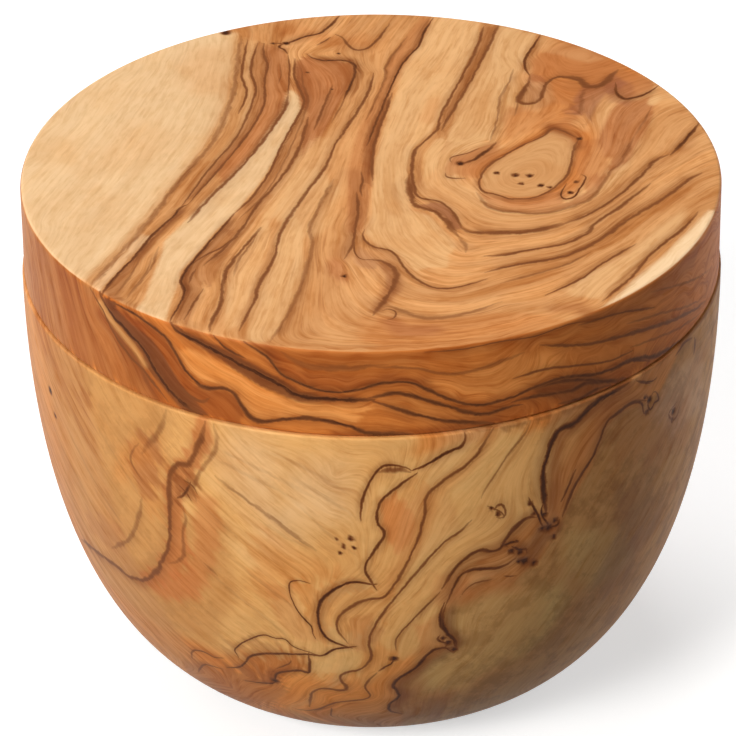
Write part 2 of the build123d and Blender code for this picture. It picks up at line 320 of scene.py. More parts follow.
BOWL_SIDE = (
    Stroke("bowl left edge", Ink.BROWN, 1.6, None, ((-27.2, 65), (-27.8, 62.5), (-30, 58), (-30.8, 57),
        (-32, 57), (-33.4, 56), (-34.3, 54), (-36, 42), (-38, 38), (-41, 34), (-43.4, 32), (-46, 30.8),
        (-49, 30), (-52, 30.6), (-56, 30.3), (-64, 29), (-67, 28)), (-2.4, 0.5)),
    Stroke("bowl left right edge", Ink.SOFT, 1.3, None, ((-25.6, 65), (-25.2, 62), (-29, 55.5), (-30, 53),
        (-29.6, 51.3))),
    Stroke("bowl left core", Ink.DARK, 0.9, None, ((-30.4, 54.2), (-31, 52.8), (-32, 51.5), (-33.2, 50.6))),
    Stroke("bowl left low", Ink.SOFT, 1.2, None, ((-32.2, 49.5), (-32, 47), (-32.8, 45), (-33.4, 40),
        (-35, 38.5), (-37, 37.5))),
    Stroke("bowl far left", Ink.SOFT, 1.4, None, ((-40.8, 48), (-42.4, 43.6), (-46, 38.4),
        (-52, 34)), (-1.6, 0.4)),
    Stroke("bay core", Ink.SOFT, 0.8, None, ((-40.4, 57.6), (-42, 55.6), (-42.4, 53.6), (-40.4, 51.2))),
    Stroke("bowl rim band", Ink.SOFT, 1.9, None, ((-34.4, 64.8), (-35.6, 61.6), (-37.6, 58.8),
        (-39.6, 56.4))),
    Stroke("strip tick", Ink.BROWN, 0.6, None, ((-32, 54.4), (-30, 53.6), (-29.2, 52.4))),
    Stroke("strip tick low", Ink.BROWN, 0.6, None, ((-32.8, 53.2), (-31.2, 52), (-30.4, 50.8))),
    Stroke("ink squiggle", Ink.BLACK, 1, None, ((14.2, 65.4), (14.3, 64.5), (13.8, 63.5), (11, 62.5),
        (8.4, 61), (5.8, 60.2)), (-1, 0.5)),
    Stroke("ink squiggle arc", Ink.DARK, 0.8, None, ((5.8, 60.2), (4.8, 60.8), (1.8, 61.2), (0.6, 60.4),
        (-1.4, 57), (-2.2, 53), (-2.1, 51.8)), (1.2, 0.5)),
    Stroke("arc fill", Ink.BROWN, 1.7, None, ((0.6, 60.1), (2, 60.5), (4, 60.5), (5.4, 60))),
    Stroke("ink branch", Ink.DARK, 0.8, None, ((7, 59.9), (2.6, 56.8), (0.8, 54.6), (0.4, 51.7), (1.5, 49.8),
        (-1.6, 43.4), (-0.6, 40.9), (0.3, 39.2)), (-1.6, 0.5)),
    Stroke("ink step", Ink.BLACK, 0.9, None, ((0.4, 40.4), (-0.8, 40.4), (-2.8, 40.8), (-4.8, 40.4),
        (-6.8, 39.2), (-8.8, 37.2), (-9.6, 34.8), (-9.6, 32), (-8.8, 30), (-7.2, 28.8), (-5.2, 28),
        (-4, 27.6)), (1.4, 0.6)),
    Stroke("ink beak", Ink.BLACK, 0.8, None, ((-3.2, 28), (-4.8, 27.7), (-7.4, 27.1), (-8.6, 26.1),
        (-9.8, 25.6), (-11.2, 25.4))),
    Stroke("ink low", Ink.DARK, 0.9, None, ((-8.6, 26), (-9.8, 25.6), (-11.5, 25.6), (-22.5, 23.4),
        (-26.6, 19.5), (-30, 18.2)), (1, 0.4)),
    Stroke("bowl fourth", Ink.BROWN, 0.9, -12.6, ((19, 65.6), (16.2, 61.6), (14.6, 60.2), (10.8, 58),
        (8.2, 55.6), (7.8, 52), (6, 46), (2.6, 39.4), (1.4, 38), (-1.6, 37.4), (-4.6, 35.6), (-5.8, 34.4),
        (-6.6, 32.8), (-6.4, 31), (-4.8, 28.6)), (-1.6, 0.5)),
    Stroke("bowl fifth upper", Ink.SOFT, 0.8, -11, ((25.2, 65.5), (24.6, 64), (21.4, 60.6), (17.6, 55.4),
        (17, 54)), (-1.6, 0.4)),
    Stroke("bowl fifth lower", Ink.BROWN, 0.9, -11, ((15.5, 50.5), (13, 48.4), (11, 47.2), (0.2, 33),
        (-1.2, 28.5), (-0.8, 26), (-1.4, 24.4), (-2.8, 23), (-4.8, 22.4), (-6.6, 21.2), (-6.4, 20),
        (-5.6, 18.7), (-5.8, 17.8), (-9.6, 17.8), (-11.6, 17.2), (-12.8, 15.8), (-14, 12)), (-1.4, 0.45)),
    Stroke("bowl black", Ink.BLACK, 1.8, -8, ((44, 65.3), (38.5, 64.9), (36.4, 64.3), (33, 62.7), (31, 62.5),
        (29.8, 62), (29, 60.6), (27.6, 56), (28.6, 48.5)), (1.2, 0.5)),
    Stroke("bowl right arm", Ink.DARK, 1, -6, ((49, 60.5), (46, 61.6), (41, 61), (39.8, 60.4), (37.2, 55.8),
        (33.6, 51.5), (31.8, 47)), (1.6, 0.5)),
    Stroke("knot arm", Ink.DARK, 1, -9.5, ((26.8, 49), (25, 48.6), (22.2, 46.8), (20.6, 44.4), (19, 44.3),
        (17.6, 44.8), (16, 44.6), (14.4, 43.6), (13, 42.2), (11, 38.6)), (-1.6, 0.5)),
    Stroke("knot arm tail", Ink.BROWN, 0.7, -9.5, ((11, 38.6), (3.8, 30), (3.4, 28.4),
        (3.6, 27)), (-1.6, 0.5)),
    Stroke("knot faint", Ink.BROWN, 0.7, None, ((18.4, 51.6), (18.8, 52), (19.2, 51.6), (20, 52.4),
        (20.8, 52), (21.2, 50.4), (20.4, 50), (19.6, 50.4))),
    Stroke("knot neck", Ink.BLACK, 0.8, None, ((25.2, 52.4), (28.4, 46))),
    Stroke("knot brow line", Ink.DARK, 1.1, None, ((27.2, 48.4), (25.2, 48.8), (24, 48.4), (22.8, 47.6),
        (20.8, 45.2))),
    Stroke("knot loop", Ink.BLACK, 0.8, None, ((20.8, 45.2), (21.6, 44.8), (22.4, 45.2), (24, 44.8))),
    Stroke("knot right", Ink.BLACK, 0.8, None, ((31.2, 46.8), (31.2, 46), (30, 45.6), (29.2, 45.2))),
    Stroke("knot stem", Ink.BLACK, 0.8, None, ((28, 50.8), (27.6, 49.2), (29.2, 46.4), (29.2, 45.6))),
    Stroke("knot low", Ink.BLACK, 1.1, None, ((22.8, 44.4), (24.4, 43.2), (25.2, 43.2), (25.6, 42.4))),
    Stroke("step crack", Ink.BLACK, 1, None, ((11.6, 36), (11.2, 34.8), (11.2, 31.6), (14, 28), (14.4, 26.8),
        (14.4, 25.6), (14, 25.2))),
    Stroke("step loop", Ink.DARK, 0.7, None, ((11.2, 29.6), (10.8, 28.8), (12.8, 27.2), (12, 26.8))),
    Stroke("step left", Ink.DARK, 0.6, None, ((9.6, 26), (12, 26.8), (14, 25.2))),
    Stroke("rim ring", Ink.DARK, 0.8, None, ((50.8, 61.2), (49.6, 59.6), (50.4, 58.4), (51.2, 59.2),
        (52.4, 59.2), (52, 60.4), (51.2, 61.2))),
    Stroke("rim ring two", Ink.BROWN, 0.7, None, ((58.4, 56), (56, 55.2), (56.8, 54), (58, 53.2),
        (59.2, 53.6), (59.6, 54.8))),
    Stroke("rim ring line", Ink.DARK, 0.8, None, ((42.8, 61.2), (44.8, 61.6), (46.8, 61.2), (48, 60.4),
        (48.4, 58.8), (49.6, 58))),
    Stroke("rim ring top", Ink.DARK, 0.6, None, ((46.4, 64.8), (48, 64), (50.4, 63.2), (52, 63.2))),
    Stroke("tail blob", Ink.DARK, 0.9, None, ((3.4, 25.6), (3, 24.6), (1.6, 23.4), (0.4, 22.4))),
    Stroke("tail end", Ink.BROWN, 0.7, -10.5, ((0.4, 22.4), (-1.6, 20), (-2, 18.6), (-1.2, 16.2), (-8.4, 14),
        (-12.6, 11.4), (-15, 10.6), (-18, 10.4)), (-1.2, 0.4)),
    Stroke("knot brow", Ink.DARK, 0.9, -8, ((23.6, 42), (22, 41.2), (20.4, 41), (16.4, 41.5), (14.6, 41.2),
        (13.6, 40), (11.8, 35.4)), (1.2, 0.5)),
    Stroke("coast upper", Ink.BLACK, 1.1, -8, ((11.8, 35.4), (11.4, 32), (14, 27.4), (14.4, 26),
        (14.2, 25.2)), (-1.6, 0.6)),
    Stroke("coast lower", Ink.BLACK, 1, -8, ((13.6, 26.4), (10.8, 26.6), (9.4, 25.8), (7.4, 23), (3.8, 20.2),
        (3.2, 19), (4.6, 16.2), (3, 14.2), (2.6, 12.8), (3, 11.8), (5.4, 10.6)), (-1.6, 0.6)),
    Stroke("brow small", Ink.BROWN, 0.6, -7.5, ((20, 39), (16.6, 38.8), (15.2, 38), (14.2, 36.6))),
    Stroke("loop thin", Ink.DARK, 0.45, None, ((-10.5, 40), (-12.5, 40.4), (-14, 39.9), (-14.2, 38),
        (-13, 34.2), (-11, 31.6), (-10.8, 30), (-10.2, 28.8))),
    Stroke("island top", Ink.DARK, 0.5, None, ((-10, 25.5), (-11.5, 26), (-14.6, 26.9), (-16, 28.2),
        (-18, 28.1), (-19.8, 28.4), (-24.4, 25.6), (-25.8, 24.4), (-26.6, 23.2), (-26.2, 22),
        (-26.4, 20.8)), (1, 0.4)),
    Stroke("island low", Ink.DARK, 0.8, None, ((-11.8, 26.4), (-12, 25.4), (-12.6, 21.4), (-14, 21.6),
        (-18.8, 20), (-19.6, 18.8), (-19.8, 17.6), (-21.2, 17), (-27, 16)), (1.4, 0.6)),
    Stroke("far low a", Ink.BROWN, 0.8, None, ((-29.5, 20.6), (-32, 20), (-34, 20.3), (-36.4, 20),
        (-37.8, 18.8), (-38.8, 17)), (1.4, 0.4)),
    Stroke("far low b", Ink.BROWN, 0.8, None, ((-31, 17.4), (-34, 17.2), (-36, 16.6),
        (-40, 13)), (1.4, 0.4)),
    Stroke("small right", Ink.DARK, 0.7, None, ((34, 55), (33, 53), (32, 51), (31.2, 49.6))),
    Stroke("ink loop", Ink.BROWN, 0.5, None, ((18, 52.6), (20.4, 51), (21, 50), (20, 49.7))),
    Stroke("low curl", Ink.BROWN, 0.5, None, ((-9.2, 12.8), (-9.6, 11), (-9.8, 9.5), (-8.8, 9.1))),
    Stroke("island line", Ink.BROWN, 0.5, None, ((-15.4, 24.2), (-15.8, 23), (-17.4, 22), (-19, 20.9))),
    Stroke("knot dash", Ink.BROWN, 0.5, None, ((24, 38.6), (22.8, 38.8), (21.6, 39.2))),
    Stroke("far right dash", Ink.DARK, 0.7, None, ((50, 63), (48, 64), (46.3, 65))),
    Stroke("seam dash", Ink.DARK, 0.8, None, ((57, 64.4), (60.5, 65.2), (63, 64.6))),
    Stroke("seam dash low", Ink.DARK, 0.8, None, ((64, 64.2), (64.4, 62.8), (64, 61.4))),
    Stroke("streak one", Ink.FAINT, 1.4, None, ((-26, 59.6), (-22, 58.4), (-16.8, 56.8), (-13.2, 55.2))),
    Stroke("streak two", Ink.SOFT, 1.4, None, ((-25.6, 56.4), (-17.2, 51.6), (-9.6, 46.4))),
    Stroke("streak three", Ink.FAINT, 1.3, None, ((-19.6, 51.2), (-14.8, 48.4), (-9.6, 46.2))),
    Stroke("streak four", Ink.FAINT, 1.3, None, ((-26, 61.6), (-16.8, 58.8), (-9.6, 55.6))),
    Stroke("streak five", Ink.FAINT, 1.4, None, ((-13.2, 58.8), (-7.6, 55.6), (-2.8, 52.4))),
    Stroke("streak six", Ink.FAINT, 1.3, None, ((-11.6, 53.6), (-7.6, 49.6), (-2.8, 45.6))),
    Stroke("streak seven", Ink.FAINT, 1.3, None, ((-29.2, 51.2), (-25.2, 48.4), (-20, 45.2))),
    Stroke("field tick", Ink.SOFT, 1.2, None, ((-29.2, 40), (-28, 39.2), (-27.2, 38.4))),
    Stroke("streak eight", Ink.FAINT, 1.3, None, ((-31.2, 41.6), (-26.4, 37.2), (-18.8, 32), (-14, 27.2))),
    Stroke("streak nine", Ink.FAINT, 1.3, None, ((-16.8, 62.4), (-10.8, 60.4), (-4, 56.4))),
    Stroke("streak ten", Ink.FAINT, 1.3, None, ((-24, 42.4), (-18, 38.2), (-12.4, 34))),
    Stroke("streak eleven", Ink.FAINT, 1.3, None, ((-52, 58), (-46, 53), (-40, 47))),
    Stroke("streak twelve", Ink.FAINT, 1.3, None, ((-60, 52), (-54, 46.6), (-47, 41))),
)

GUIDES_TOP = (
    Stroke("front rim low", Ink.NONE, 1, -5.4, ((-12.4, -48.6), (-6, -50), (4, -50.6), (16, -48.6),
        (26, -44), (33, -39))),
    Stroke("right rim", Ink.NONE, 1, -6.2, ((35, -36.8), (41, -30), (46.6, -22), (49.4, -14.6))),
    Stroke("sap four", Ink.NONE, 1, -45, ((-46, 16), (-49, 6))),
    Stroke("sap one", Ink.NONE, 1, -30.5, ((-24.5, 44), (-25.5, 33), (-27.5, 22), (-30.5, 11), (-34, 0),
        (-38.5, -12), (-42.5, -24))),
    Stroke("sap two", Ink.NONE, 1, -35, ((-30, 41), (-33, 28), (-37, 14), (-41.5, 0), (-46.5, -14))),
    Stroke("sap three", Ink.NONE, 1, -40.5, ((-37, 35), (-41, 20), (-46, 6), (-50, -5))),
    Stroke("front rim", Ink.NONE, 1, -3.4, ((-5, -27), (-4.8, -34), (-3.4, -41), (1, -44.8), (8, -45.4),
        (16, -44), (24, -41), (29, -37.5))),
)

GUIDES_WALL = (
    Stroke("pale one", Ink.NONE, 1, -19.4, ((-3.5, 64.7), (4, 59))),
    Stroke("pale two", Ink.NONE, 1, -20.1, ((-13, 65), (-4, 58), (1, 54.2))),
    Stroke("pale three", Ink.NONE, 1, -21.2, ((-22, 64.7), (-12, 57), (-2, 49.5))),
    Stroke("pale four", Ink.NONE, 1, -23, ((-31, 65), (-20, 56.6), (-3, 43.7))),
    Stroke("pale five", Ink.NONE, 1, -26.6, ((-40.8, 65), (-25, 53), (-9, 40.8))),
    Stroke("pale six", Ink.NONE, 1, -30.6, ((-50, 65), (-30, 49.8), (-11, 35.4))),
    Stroke("pale seven", Ink.NONE, 1, -35.2, ((-60, 64.6), (-36, 46.4), (-13, 29))),
    Stroke("pale eight", Ink.NONE, 1, -40, ((-72, 64.7), (-44, 43.4), (-16, 22))),
    Stroke("pale nine", Ink.NONE, 1, -44.5, ((-80, 60.8), (-52, 39.5), (-22, 16.7))),
    Stroke("pale ten", Ink.NONE, 1, -49, ((-80, 48.8), (-56, 30.6), (-32, 12.3))),
    Stroke("pale eleven", Ink.NONE, 1, -53, ((-80, 34.8), (-64, 22.6), (-50, 12))),
    Stroke("back left one", Ink.NONE, 1, -46, ((-133, 79), (-131, 66), (-128, 50), (-122, 30))),
    Stroke("back left three", Ink.NONE, 1, -30.5, ((-151, 79), (-150, 66), (-148, 45), (-146, 25))),
    Stroke("dark one", Ink.NONE, 1, -3.5, ((15, 18), (30, 37), (38, 48), (47, 57))),
    Stroke("dark two", Ink.NONE, 1, 0.5, ((22, 12), (42, 40), (54, 52), (64, 60))),
    Stroke("dark three", Ink.NONE, 1, 5, ((34, 10), (46, 26), (60, 42), (76, 56))),
    Stroke("right end", Ink.NONE, 1, -6.4, ((60, 79.4), (72, 77.5), (84, 75.6))),
    Stroke("right end low", Ink.NONE, 1, -7.6, ((60, 72), (72, 70.4), (84, 69))),
    Stroke("left end one", Ink.NONE, 1, -27.3, ((-52, 79), (-46.5, 73), (-42.5, 66.5))),
    Stroke("left end two", Ink.NONE, 1, -32, ((-60, 79), (-56, 72), (-53, 66))),
    Stroke("left end three", Ink.NONE, 1, -38, ((-72, 79), (-69, 72), (-67, 66))),
)

LID_TOP_PATCHES = (
    Patch("sapwood", Tone.SAPWOOD, 0.9, 1.6, ((-20.4, 44.5), (-20.6, 33), (-21.6, 22), (-23.2, 13),
        (-25.6, 5), (-31.6, -11), (-36, -22), (-40.4, -31), (-60, -20), (-60, 30), (-40, 50))),
    Patch("left column", Tone.STRAW, 0.5, 1.0, ((-21.4, 43.5), (-21.2, 30), (-21.8, 20), (-23.5, 9),
        (-25.5, 4), (-22.5, 3.5), (-20.5, 7), (-18.5, 14), (-17.6, 22), (-18.2, 30), (-17.4, 42))),
    Patch("left seams", Tone.UMBER, 0.5, 0.5, ((-17.4, 41.5), (-16, 41), (-15.4, 34), (-15.8, 24),
        (-17, 16.5), (-19, 10), (-24.2, -4), (-27.6, -10.4), (-23, 3), (-20.7, 8.6), (-18.6, 16),
        (-17.2, 24), (-18, 34))),
    Patch("left core", Tone.RUST, 0.72, 0.6, ((-16, 41), (-15.5, 33), (-15.8, 25), (-17, 16.5), (-19, 10),
        (-23, 0), (-21, -2.5), (-18.8, 2), (-13.4, 18), (-12.5, 22.5), (-12.2, 27), (-12.6, 39))),
    Patch("cream stripe", Tone.SAPWOOD, 0.9, 0.5, ((-12, 25.4), (-10.8, 24), (-10.5, 19), (-14.9, 0.5),
        (-16.5, -4.5), (-26.9, -29), (-27.2, -33), (-28.8, -42.8), (-33, -39.8), (-31.6, -36), (-29, -20),
        (-21.5, -3), (-17.6, 5), (-12.8, 20))),
    Patch("beside cream", Tone.UMBER, 0.36, 0.8, ((-11.3, 36), (-11, 27.5), (-9.9, 22.5), (-10.2, 19),
        (-16, -4), (-22.4, -18.5), (-20, -19), (-15.3, -8), (-10.6, 5), (-9.6, 11), (-8.4, 26), (-9, 34))),
    Patch("dome core", Tone.RUST, 0.85, 0.5, ((-9.5, 37), (-8, 35.8), (-2.8, 34.8), (-2.2, 32), (-2.6, 28),
        (-5, 18), (-6.6, 13), (-10.2, 4), (-10, 12), (-9.4, 18), (-11, 27), (-11.4, 33), (-10.6, 36))),
    Patch("right of seventh", Tone.STRAW, 0.5, 1.4, ((-8.8, 10), (-5.4, 11), (-4, 16), (-7, 0), (-12.2, -14),
        (-15.4, -13), (-13.6, -3), (-10.6, 5))),
    Patch("middle band", Tone.CLAY, 0.6, 0.7, ((8.2, 49.8), (9.7, 49), (8.4, 42.5), (5.1, 33.5), (3.8, 28.5),
        (0.6, 6), (-0.5, -12), (-1.2, -17), (-3.4, -18), (-3, 2), (-2.4, 8), (-0.6, 18), (2.4, 30),
        (2.8, 34), (6.6, 46))),
    Patch("middle seam", Tone.UMBER, 0.6, 0.6, ((2.2, 22.5), (2.9, 22.5), (0.9, 9), (0.2, -4), (-1, -4),
        (-1.2, 3), (-0.8, 9), (0.6, 15))),
    Patch("beside eighth", Tone.HONEY, 0.5, 1.0, ((0.6, 31), (2.4, 30), (-6, -2), (-10, -14), (-11.6, -14),
        (-6.6, 2), (-0.4, 26))),
    Patch("pale field", Tone.STRAW, 0.85, 0.6, ((4.2, 26), (5.3, 33), (8.4, 42), (10.4, 49.8), (17, 48.2),
        (16.5, 40), (9, 12), (6.4, 6.5), (5.6, 0), (5.2, -6), (6, -11.4), (8.8, -13.2), (10.8, -18),
        (12, -22), (10, -28), (6, -29), (3.6, -24), (0.6, -21.8), (-0.8, -18), (0.1, -12), (0.6, 4),
        (3.1, 21))),
    Patch("double band", Tone.UMBER, 0.4, 0.5, ((17.6, 47.6), (19.9, 46.8), (18.5, 40.5), (10.8, 13),
        (9.9, 12.8), (17.2, 43))),
    Patch("pale ribbon", Tone.STRAW, 0.8, 0.8, ((20.3, 46.4), (25.8, 43.3), (24, 35.5), (19.2, 22),
        (18.2, 14), (17, 9.6), (13.6, 8), (9.6, 10), (7.6, 5), (7.4, -1), (8, -6.4), (9.6, -3), (10, 4),
        (11.8, 12), (13.2, 21), (15.4, 28), (19, 42))),
    Patch("edge shade", Tone.TAN, 0.7, 0.8, ((26.2, 43.2), (27.6, 42), (26, 38), (24.8, 33), (24.6, 30),
        (24, 30), (23.6, 33.4), (24.6, 38))),
    Patch("back right plate", Tone.CLAY, 0.7, 0.9, ((27.6, 38.4), (30, 40.6), (34, 37.6), (38, 33),
        (37, 29.5), (34, 26), (32.5, 27.5), (30, 29), (28.6, 29.3), (27, 28), (26, 30), (24.6, 30),
        (24.4, 34), (26, 37))),
    Patch("loop fill", Tone.PLUM, 0.45, 0.8, ((24.2, 29.5), (22.2, 21.5), (23.2, 20.6), (24.6, 21),
        (25.6, 22.6), (26.6, 27), (26, 29.6))),
    Patch("under loop", Tone.CLAY, 0.5, 1.2, ((27, 28), (31.5, 28), (32, 24), (31, 16), (30, 12.4), (27, 14),
        (20, 9), (19.6, 16), (20.8, 20), (24, 19.6), (26, 22))),
    Patch("smile bowl", Tone.CLAY, 0.7, 0.6, ((38, 31.8), (43, 26.4), (42.5, 24.5), (38.5, 21.2),
        (37.4, 22.5), (37, 27))),
    Patch("fork shade", Tone.PLUM, 0.55, 0.9, ((31.8, 27.4), (34.6, 26.6), (37.4, 31), (37.8, 26.6),
        (37, 23.8), (35.4, 23.8), (32.6, 15), (31.8, 17.4), (29.4, 17), (29, 18.6), (31, 20.2),
        (31.4, 23.4))),
    Patch("right red", Tone.RUST, 0.82, 1.0, ((37, 21), (40, 21.5), (42.4, 23), (42, 17), (41, 12),
        (37.4, 2), (35.6, 0), (34.2, 4), (33.4, 9), (35.6, 18))),
    Patch("beside red", Tone.CLAY, 0.5, 1.0, ((35.6, 0), (34.2, 4), (33.4, 9), (31.6, 9), (30, 7), (29.4, 1),
        (33, -5.6))),
    Patch("right pale", Tone.HONEY, 0.8, 0.8, ((43, 26), (44.6, 25.6), (47.8, 18), (48, 14.5), (44, 6),
        (41.6, 3), (39.4, 1), (37, -3), (38.4, 3), (40.5, 8), (42, 13), (42.6, 18))),
    Patch("ochre", Tone.MARIGOLD, 0.25, 1.4, ((21, 17.4), (24.2, 18.6), (29.4, 18.6), (28.2, 14.2),
        (20.6, 7), (18.6, 9))),
    Patch("drop heart", Tone.WHEAT, 0.85, 0.8, ((30, 8), (29.4, 3), (28.4, -1.5), (26.4, -5.2), (24, -7.6),
        (21, -8.2), (18.4, -7), (16.2, -5.4), (16.2, -1.5), (18.6, 3), (27.2, 12.2), (28.6, 11))),
    Patch("drop skirt", Tone.RUST, 0.62, 0.6, ((15.2, -6.5), (17, -11), (18.4, -12), (23, -12.9),
        (25.5, -12.7), (30.5, -9.8), (32, -8.2), (34, -3), (33, -1), (31.4, -3), (30.6, -7), (28.6, -9.4),
        (26.5, -6.4), (24, -8.4), (21, -8.9), (16.2, -6.8))),
    Patch("beside contour", Tone.HONEY, 0.6, 0.8, ((7, -7), (8, -2), (9.6, 1), (11, -3), (15, -3),
        (15.3, -7), (16.5, -11), (18.5, -13), (22, -13.4), (26, -13.3), (30, -11), (27, -15.6), (23, -17.6),
        (14.6, -17.6), (13, -16), (11.8, -11.5), (10, -9), (8, -8.2))),
    Patch("drop left", Tone.CLAY, 0.6, 1.0, ((10.8, -1), (14.5, -1.6), (18.6, 4.4), (19, 9), (17.4, 8),
        (14.6, 5.4), (11.8, 4), (10.8, 1))),
    Patch("contour fill", Tone.PLUM, 0.6, 0.5, ((6.8, -10.6), (9.6, -12.4), (11.8, -17.6), (13, -17.2),
        (11.4, -11.6), (10.4, -10), (8.6, -9.2))),
    Patch("sweep ground", Tone.TAN, 0.32, 1.5, ((12, -19), (24, -18.4), (32, -13), (45, 6), (49, 5),
        (48, -12), (34, -26), (26, -33), (16, -34), (14, -28))),
    Patch("front pale", Tone.STRAW, 0.8, 1.4, ((26, -35), (36, -24.6), (41, -17), (45, -12), (44.4, -17),
        (31.6, -37.6))),
    Patch("rim cream", Tone.IVORY, 0.97, 0.9, ((31.6, -40), (41, -25.6), (44.8, -19.4), (48.4, -12.6),
        (55, -12), (54, -22), (48, -32), (40, -42))),
    Patch("low left brown", Tone.UMBER, 0.5, 1.0, ((-20.6, -15), (-25.4, -25.6), (-26.6, -29.5),
        (-26.2, -36), (-27.4, -42.4), (-25.5, -44), (-23.6, -33.5), (-22, -31), (-18.6, -17))),
    Patch("left main shade", Tone.UMBER, 0.5, 0.9, ((-27.6, -10.5), (-36.3, -30.5), (-37.8, -35),
        (-35.4, -37), (-34.4, -30), (-32, -24), (-30.2, -18), (-26.2, -10.4))),
    Patch("pale wedge", Tone.IVORY, 0.6, 0.8, ((-33.4, -18), (-31.4, -18.2), (-38.2, -34), (-39.2, -32.4),
        (-37, -27))),
    Patch("low column", Tone.STRAW, 0.8, 1.0, ((-13.5, -19), (-11.4, -11), (-9.8, -19), (-9.6, -26),
        (-10.5, -34), (-12, -41), (-14.5, -48.4), (-17.4, -47.6), (-17, -40), (-15.8, -33), (-14, -27))),
    Patch("low strip", Tone.STRAW, 0.6, 0.8, ((-17, -19), (-15, -12), (-14.6, -20), (-15.6, -30),
        (-18.6, -44), (-20.4, -45), (-20.4, -36), (-20, -30), (-19, -24))),
    Patch("front tan", Tone.TAN, 0.6, 1.4, ((-9, -14), (-4, -14), (-3.4, -22), (-5.4, -27), (-6.8, -42),
        (-8, -50), (-13.6, -49), (-10.4, -34), (-9.4, -24))),
    Patch("front reddish", Tone.AMBER, 0.5, 1.6, ((0, -42), (4, -41.4), (8, -42.6), (17, -41), (25, -42.4),
        (27, -43.2), (18, -48), (8, -51), (0, -51.3), (-2, -46))),
    Patch("front left pale", Tone.HONEY, 0.5, 1.4, ((-5, -33), (0, -30), (0.6, -38), (-1, -46), (-6, -50),
        (-7, -42))),
    Patch("thumb", Tone.PLUM, 0.35, 0.7, ((-1.8, -23), (-2.6, -26.2), (-1.4, -28.2), (1, -27.4), (2.2, -31),
        (1.8, -35.8), (-0.2, -40.2), (1.8, -39.4), (3.8, -34.2), (3.8, -29.4), (3, -24.6), (0.6, -21.8))),
    Patch("mid light", Tone.STRAW, 0.55, 1.4, ((-11.8, -1), (-7.8, 1.4), (-4.6, -5.4), (-5.4, -15),
        (-8.6, -19.8), (-12.2, -17.4), (-13.4, -9.4))),
    Patch("smile shade", Tone.PLUM, 0.35, 1.2, ((35.4, 26.6), (37.8, 27.4), (39.8, 23.8), (38.6, 19.4),
        (35.8, 21))),
    Patch("inner light", Tone.STRAW, 0.3, 1.2, ((22.6, 23), (24.2, 27), (27, 27), (27.4, 22.2), (25.4, 17.8),
        (23.4, 18.6))),
    Patch("plate light", Tone.STRAW, 0.32, 1.2, ((25, 40.6), (27.8, 42.6), (33.4, 38.2), (35.8, 35),
        (33, 33.8), (29.4, 35.8), (25.8, 36.6))),
)

LID_TOP_WASHES = (
    Wash("spine shade", Tone.UMBER, 2.2, 0.5, ((-2.6, -0.2), (-2.2, -7), (-2.2, -14.2), (-3, -20.2),
        (-3.8, -24.2))),
    Wash("sapwood glow", Tone.HONEY, 4.0, 0.4, ((-24.5, 38), (-25.5, 32), (-25, 27))),
    Wash("sapwood warm", Tone.STRAW, 6.0, 0.4, ((-34, 12), (-36, 4))),
    Wash("edge brown", Tone.TAN, 1.8, 0.4, ((-19.4, 43), (-20, 32), (-21.2, 20), (-23.4, 8), (-27, -1),
        (-30, -9), (-33.4, -18), (-37, -26.6), (-39.6, -32))),
    Wash("back blush", Tone.AMBER, 3.0, 0.45, ((-12, 46), (-6, 42), (-1, 41))),
    Wash("pink one", Tone.AMBER, 1.6, 0.3, ((9.6, 22), (8.6, 16))),
    Wash("hook shade", Tone.TAN, 1.6, 0.5, ((4.6, -33), (3.4, -37), (2.6, -40))),
    Wash("ten fill", Tone.TAN, 2.0, 0.6, ((0, -22.6), (2, -25), (4, -30), (7, -34.4), (11, -35.4),
        (16, -33.5))),
    Wash("hook arc", Tone.UMBER, 1.3, 0.6, ((0.4, -40), (1.8, -36.6), (3.1, -33), (3.2, -29.4),
        (1.8, -27.1))),
    Wash("front red", Tone.RUST, 1.8, 0.8, ((2.6, -43), (4, -45.4), (6.6, -45.6), (8.4, -45.2))),
    Wash("front red upper", Tone.RUST, 1.7, 0.75, ((-5, -26.8), (-5.2, -29), (-4.2, -30.6))),
    Wash("low rim shade", Tone.UMBER, 2.0, 0.5, ((25, -40), (28.5, -39.6), (29.4, -41))),
    Wash("knot blush", Tone.RUST, 1.4, 0.7, ((12.6, 2.6), (13.4, 3.4))),
    Wash("eye fill", Tone.AMBER, 1.2, 0.5, ((28.6, -7.6), (30, -3.4))),
    Wash("drop tip shade", Tone.UMBER, 1.8, 0.8, ((27, 13), (30.4, 9.6), (30.6, 7))),
    Wash("drop tip pale", Tone.STRAW, 1.4, 0.35, ((30.6, 14.4), (31.4, 12.4))),
)

